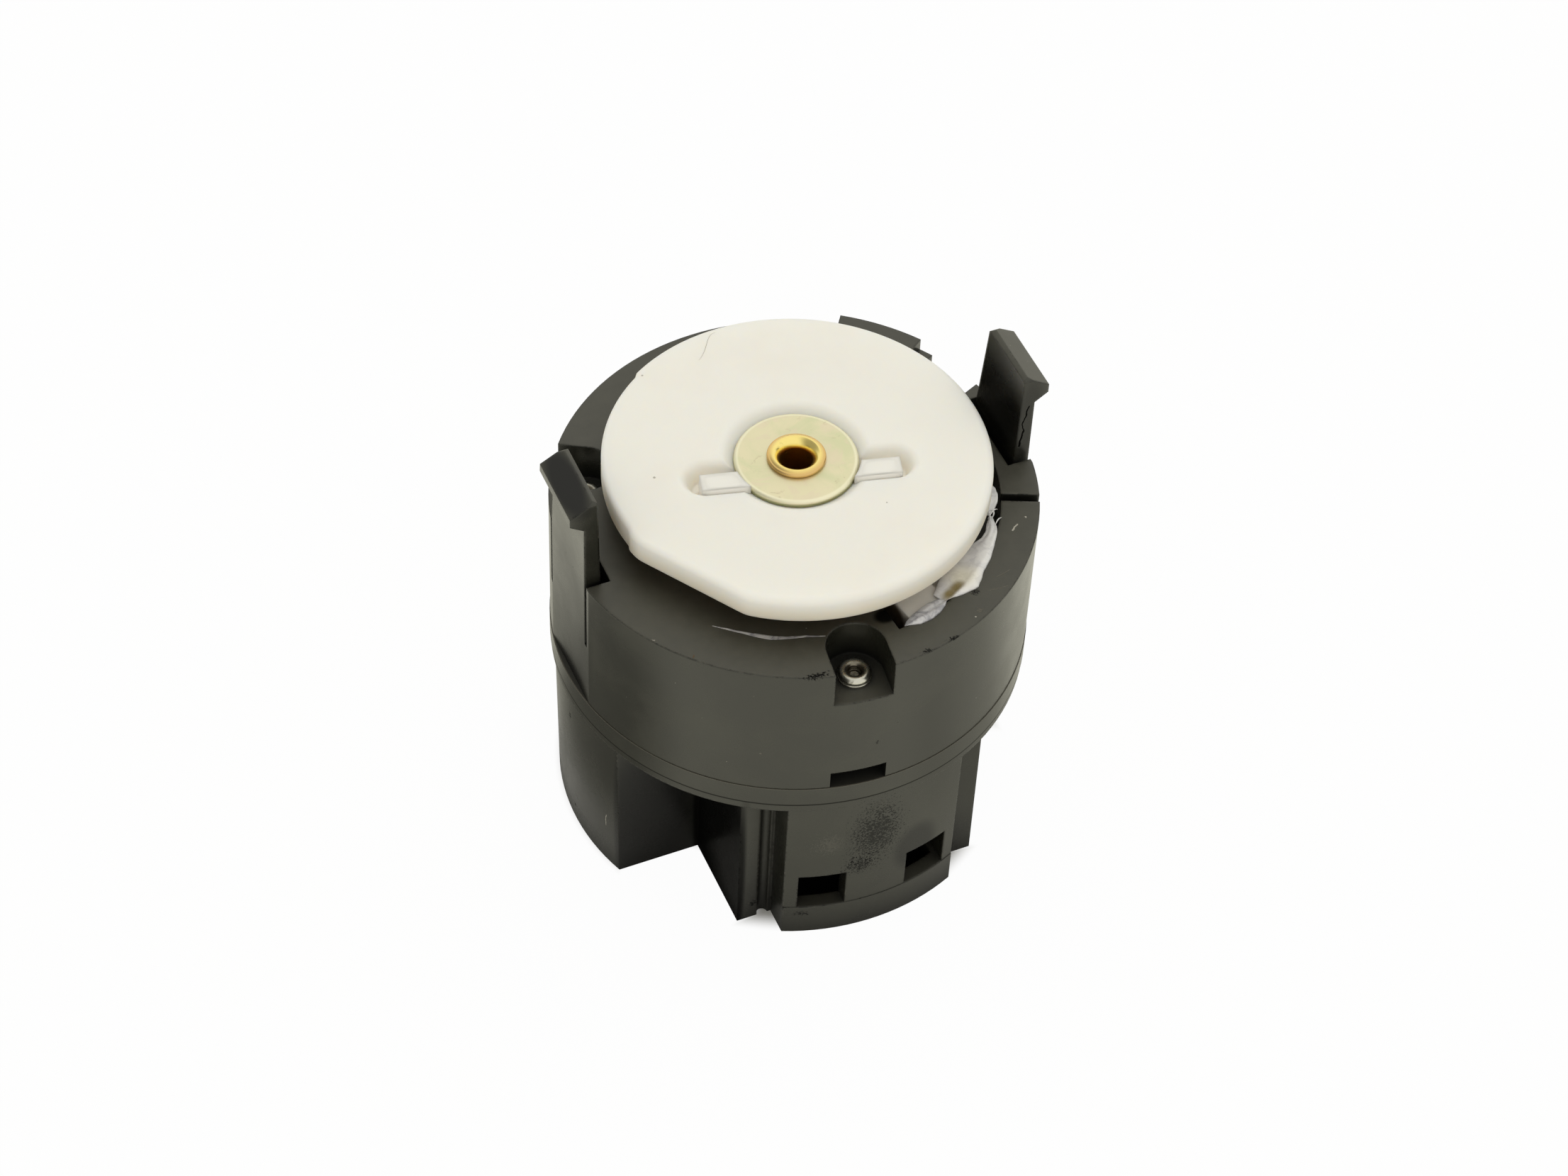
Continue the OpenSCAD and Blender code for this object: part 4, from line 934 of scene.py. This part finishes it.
threads = {
    "grease_thread_1": [
        (12.75, -8.1, 31.3), (13.1, -7.85, 31.55), (13.45, -7.65, 31.6), (13.8, -7.55, 31.42)],
    "grease_thread_2": [
        (12.95, -8.2, 31.25), (13.25, -8.0, 31.5), (13.35, -7.7, 31.55), (13.1, -7.5, 31.45)],
    "grease_thread_3": [
        (12.9, -9.0, 31.4), (13.2, -8.75, 31.55), (13.45, -8.55, 31.5), (13.75, -8.4, 31.36)],
    "grease_thread_4": [
        (12.6, -8.6, 31.3), (12.85, -8.2, 31.5), (12.95, -7.8, 31.5), (12.95, -7.4, 31.3)],
}
lint = {
    "path": [(-0.7, 14.55, 35.46), (-1.4, 14.2, 35.43), (-2.1, 13.2, 35.43), (-3.05, 12.2, 35.43)],
    "thin": 0.018,
}
lintGrey = bareMetal("lintGrey", rgb(0.52, 0.50, 0.45), rgb(0.40, 0.38, 0.34), 0.6, metallic=0.0)

for name, sheet in sheets.items():
    makeSheet(name, sheet)
for name, path in threads.items():
    makeThread(name, path, thread["thin"], greaseWhite, "housing")
makeThread("lint", lint["path"], lint["thin"], lintGrey, "rotor")
print("grease laid:", len(sheets), "sheets,", len(threads), "threads")


# Camera, from the photo's own perspective
view = {
    "turn": -25.5,          # degrees that the picture's right is turned from the object's X
    "height": 47.92,        # degrees above the rim plane
    "roll": 3.0,
    "distance": 286.94,     # mm from the middle of the rim plane
    "rimZ": 31.34,
    "shift": (-0.42, -7.518),
    "focal": 5236.0,        # in pixels of a picture 2212 wide
    "width": 2212,
    "sensor": 36.0,
    "nearest": 0.01,
}


def makeCamera():
    turn, height, roll = (math.radians(view[k]) for k in ("turn", "height", "roll"))
    right = np.array([math.cos(turn), math.sin(turn), 0.0])
    ahead = np.array([-math.sin(turn), math.cos(turn), 0.0])
    back = -ahead * math.cos(height) + np.array([0, 0, math.sin(height)])
    up = np.cross(back, right)
    place = np.array([0, 0, view["rimZ"]]) + back * view["distance"]
    place = place + right * view["shift"][0] + up * view["shift"][1]
    rolledRight = math.cos(roll) * right + math.sin(roll) * up
    rolledUp = math.cos(roll) * up - math.sin(roll) * right
    lens = bpy.data.cameras.new("photoCamera")
    lens.sensor_fit = "HORIZONTAL"
    lens.sensor_width = view["sensor"]
    lens.lens = view["focal"] / view["width"] * view["sensor"]
    lens.clip_start = view["nearest"]
    camera = show("photoCamera", lens)
    matrix = np.eye(4)
    matrix[:3] = np.stack([rolledRight, rolledUp, back, place * mm], 1)
    camera.matrix_world = matrix.T.tolist()
    bpy.context.scene.camera = camera


makeCamera()
print("camera placed")


# Floor, lamps and a white surround. The floor's half side and the lamps are in metres, other lengths in mm.
# Clear, socket and farGloss are measured from the axis. Bare places are open to view beside the connector.
studio = {
    "floor": 3.0, "floorPaint": rgb(0.82, 0.82, 0.81), "keep": 0.97,
    "cameraClear": (17.0, 19.0), "glossClear": (18.5, 24.0),
    "bare": (((-14.0, -11.2, 0.0), (7.2, 7.2, 7.2)), ((15.5, -10.8, 0.0), (8.8, 8.8, 8.8))),
    "bareSoft": 0.3, "socket": (17.0, 16.0), "dark": rgb(0.01, 0.01, 0.01),
    "nearGloss": 0.65, "farGloss": 42.0, "shadeSoft": 0.6,
    "leftShade": {"middle": (-33.0, 4.0, 0.0), "reach": (22.0, 24.0, 20.0), "depth": 0.76},
    "frontShade": {"middle": (26.0, -25.0, 0.0), "reach": (20.0, 20.0, 20.0), "depth": 0.28},
    "world": 0.57, "warm": rgb(1.0, 0.985, 0.90), "warmFloor": rgb(1.0, 0.98, 0.81), "white": rgb(1, 1, 1),
    "dimSide": (-0.88, 0.18, 0.44), "dimRange": (0.50, 0.95), "dim": 0.65,    # the sky is darker on the left
    "top": {"power": 1.78, "size": 0.6, "at": (0.10, 0.16, 0.66), "tint": (1.0, 0.985, 0.90)},
    "fill": {"power": 0.40, "size": 0.3, "at": (-0.22, -0.44, 0.17), "tint": (1.0, 0.93, 0.82)},
}


# Whether a ray comes from the camera, off a shiny face or through a clear one
def rayKinds(paint):
    outputs = ("Is Camera Ray", "Is Glossy Ray", "Is Transmission Ray")
    return [paint.node("ShaderNodeLightPath", out=name) for name in outputs]


# The floor is matte under the part and shades to plain white away from it. Under the socket it is painted
# black, and in mirrors it is dimmer near the part and in two shade balls: painted shadow.
def floorFinish():
    material = bpy.data.materials.new("floorWhite")
    material.use_nodes = True
    tree = material.node_tree
    tree.nodes.remove(tree.nodes["Principled BSDF"])
    paint = Sock(tree)
    where = placeInMm(paint)
    far = where.vector("LENGTH")
    camera, gloss, through = rayKinds(paint)
    # painted shadow in mirrors: dimmer near the part and in the left and front shade balls
    level = far.rise(studio["glossClear"][0], studio["farGloss"])
    level = level * (1 - studio["nearGloss"]) + studio["nearGloss"]
    for shade in (studio["leftShade"], studio["frontShade"]):
        dim = around(where, shade["middle"], shade["reach"], studio["shadeSoft"]) * shade["depth"]
        level = level * (1.0 - dim)
    colour = camera.tint(studio["warmFloor"], studio["white"])
    glow = paint.node("ShaderNodeEmission", None, {"Color": colour, "Strength": level.most(camera)})
    notch, beside = (around(where, *ball, studio["bareSoft"]) for ball in studio["bare"])
    bare = notch.most(beside)
    seen = camera * far.rise(*studio["cameraClear"]).most(bare)
    mirrored = gloss.most(through) * far.rise(*studio["glossClear"])
    # painted shadow: the floor under the socket is black
    inside = far.rise(*studio["socket"]) * (1.0 - bare)
    matte = paint.node("ShaderNodeBsdfDiffuse", None, {"Color": studio["floorPaint"]})
    dark = paint.node("ShaderNodeBsdfDiffuse", None, {"Color": studio["dark"]})
    under = paint.node("ShaderNodeMixShader", None, {0: inside, 1: matte, 2: dark})
    share = seen.most(mirrored) * studio["keep"]
    mixed = paint.node("ShaderNodeMixShader", None, {0: share, 1: under, 2: glow})
    tree.links.new(mixed.out, tree.nodes["Material Output"].inputs["Surface"])
    return material


def makeFloor():
    side = studio["floor"]
    corners = [(-side, -side, 0), (side, -side, 0), (side, side, 0), (-side, side, 0)]
    mesh = bpy.data.meshes.new("floor")
    mesh.from_pydata(corners, [], [(0, 1, 2, 3)])
    mesh.materials.append(floorFinish())
    floor = show("floor", mesh)


# The sky is plain white to the camera, and a dimmer, warm white as light
def makeSky():
    world = bpy.data.worlds.new("studioWhite")
    bpy.context.scene.world = world
    world.use_nodes = True
    tree = world.node_tree
    sky = Sock(tree)
    camera, gloss, through = rayKinds(sky)
    direct = camera.most(gloss).most(through)
    aim = sky.node("ShaderNodeTexCoord", out="Generated")
    left = aim.vector("DOT_PRODUCT", studio["dimSide"]).rise(*studio["dimRange"])
    level = direct * (1.0 - studio["world"]) + studio["world"] - left * gloss * studio["dim"]
    colour = camera.tint(studio["warm"], studio["white"])
    backdrop = tree.nodes["Background"]
    tree.links.new(colour.out, backdrop.inputs["Color"])
    tree.links.new(level.out, backdrop.inputs["Strength"])


# A soft lamp that looks at the origin and shows in no mirror
def makeLamp(name):
    lamp = bpy.data.lights.new(name, "AREA")
    lamp.energy, lamp.size, lamp.color = (studio[name][k] for k in ("power", "size", "tint"))
    soft = show(name, lamp)
    soft.location = studio[name]["at"]
    soft.visible_glossy = False
    soft.visible_camera = False
    soft.rotation_euler = (-soft.location).to_track_quat("-Z", "Y").to_euler()


makeFloor()
makeSky()
makeLamp("top")
makeLamp("fill")
bpy.context.scene.view_settings.view_transform = "Standard"
print("studio lit")
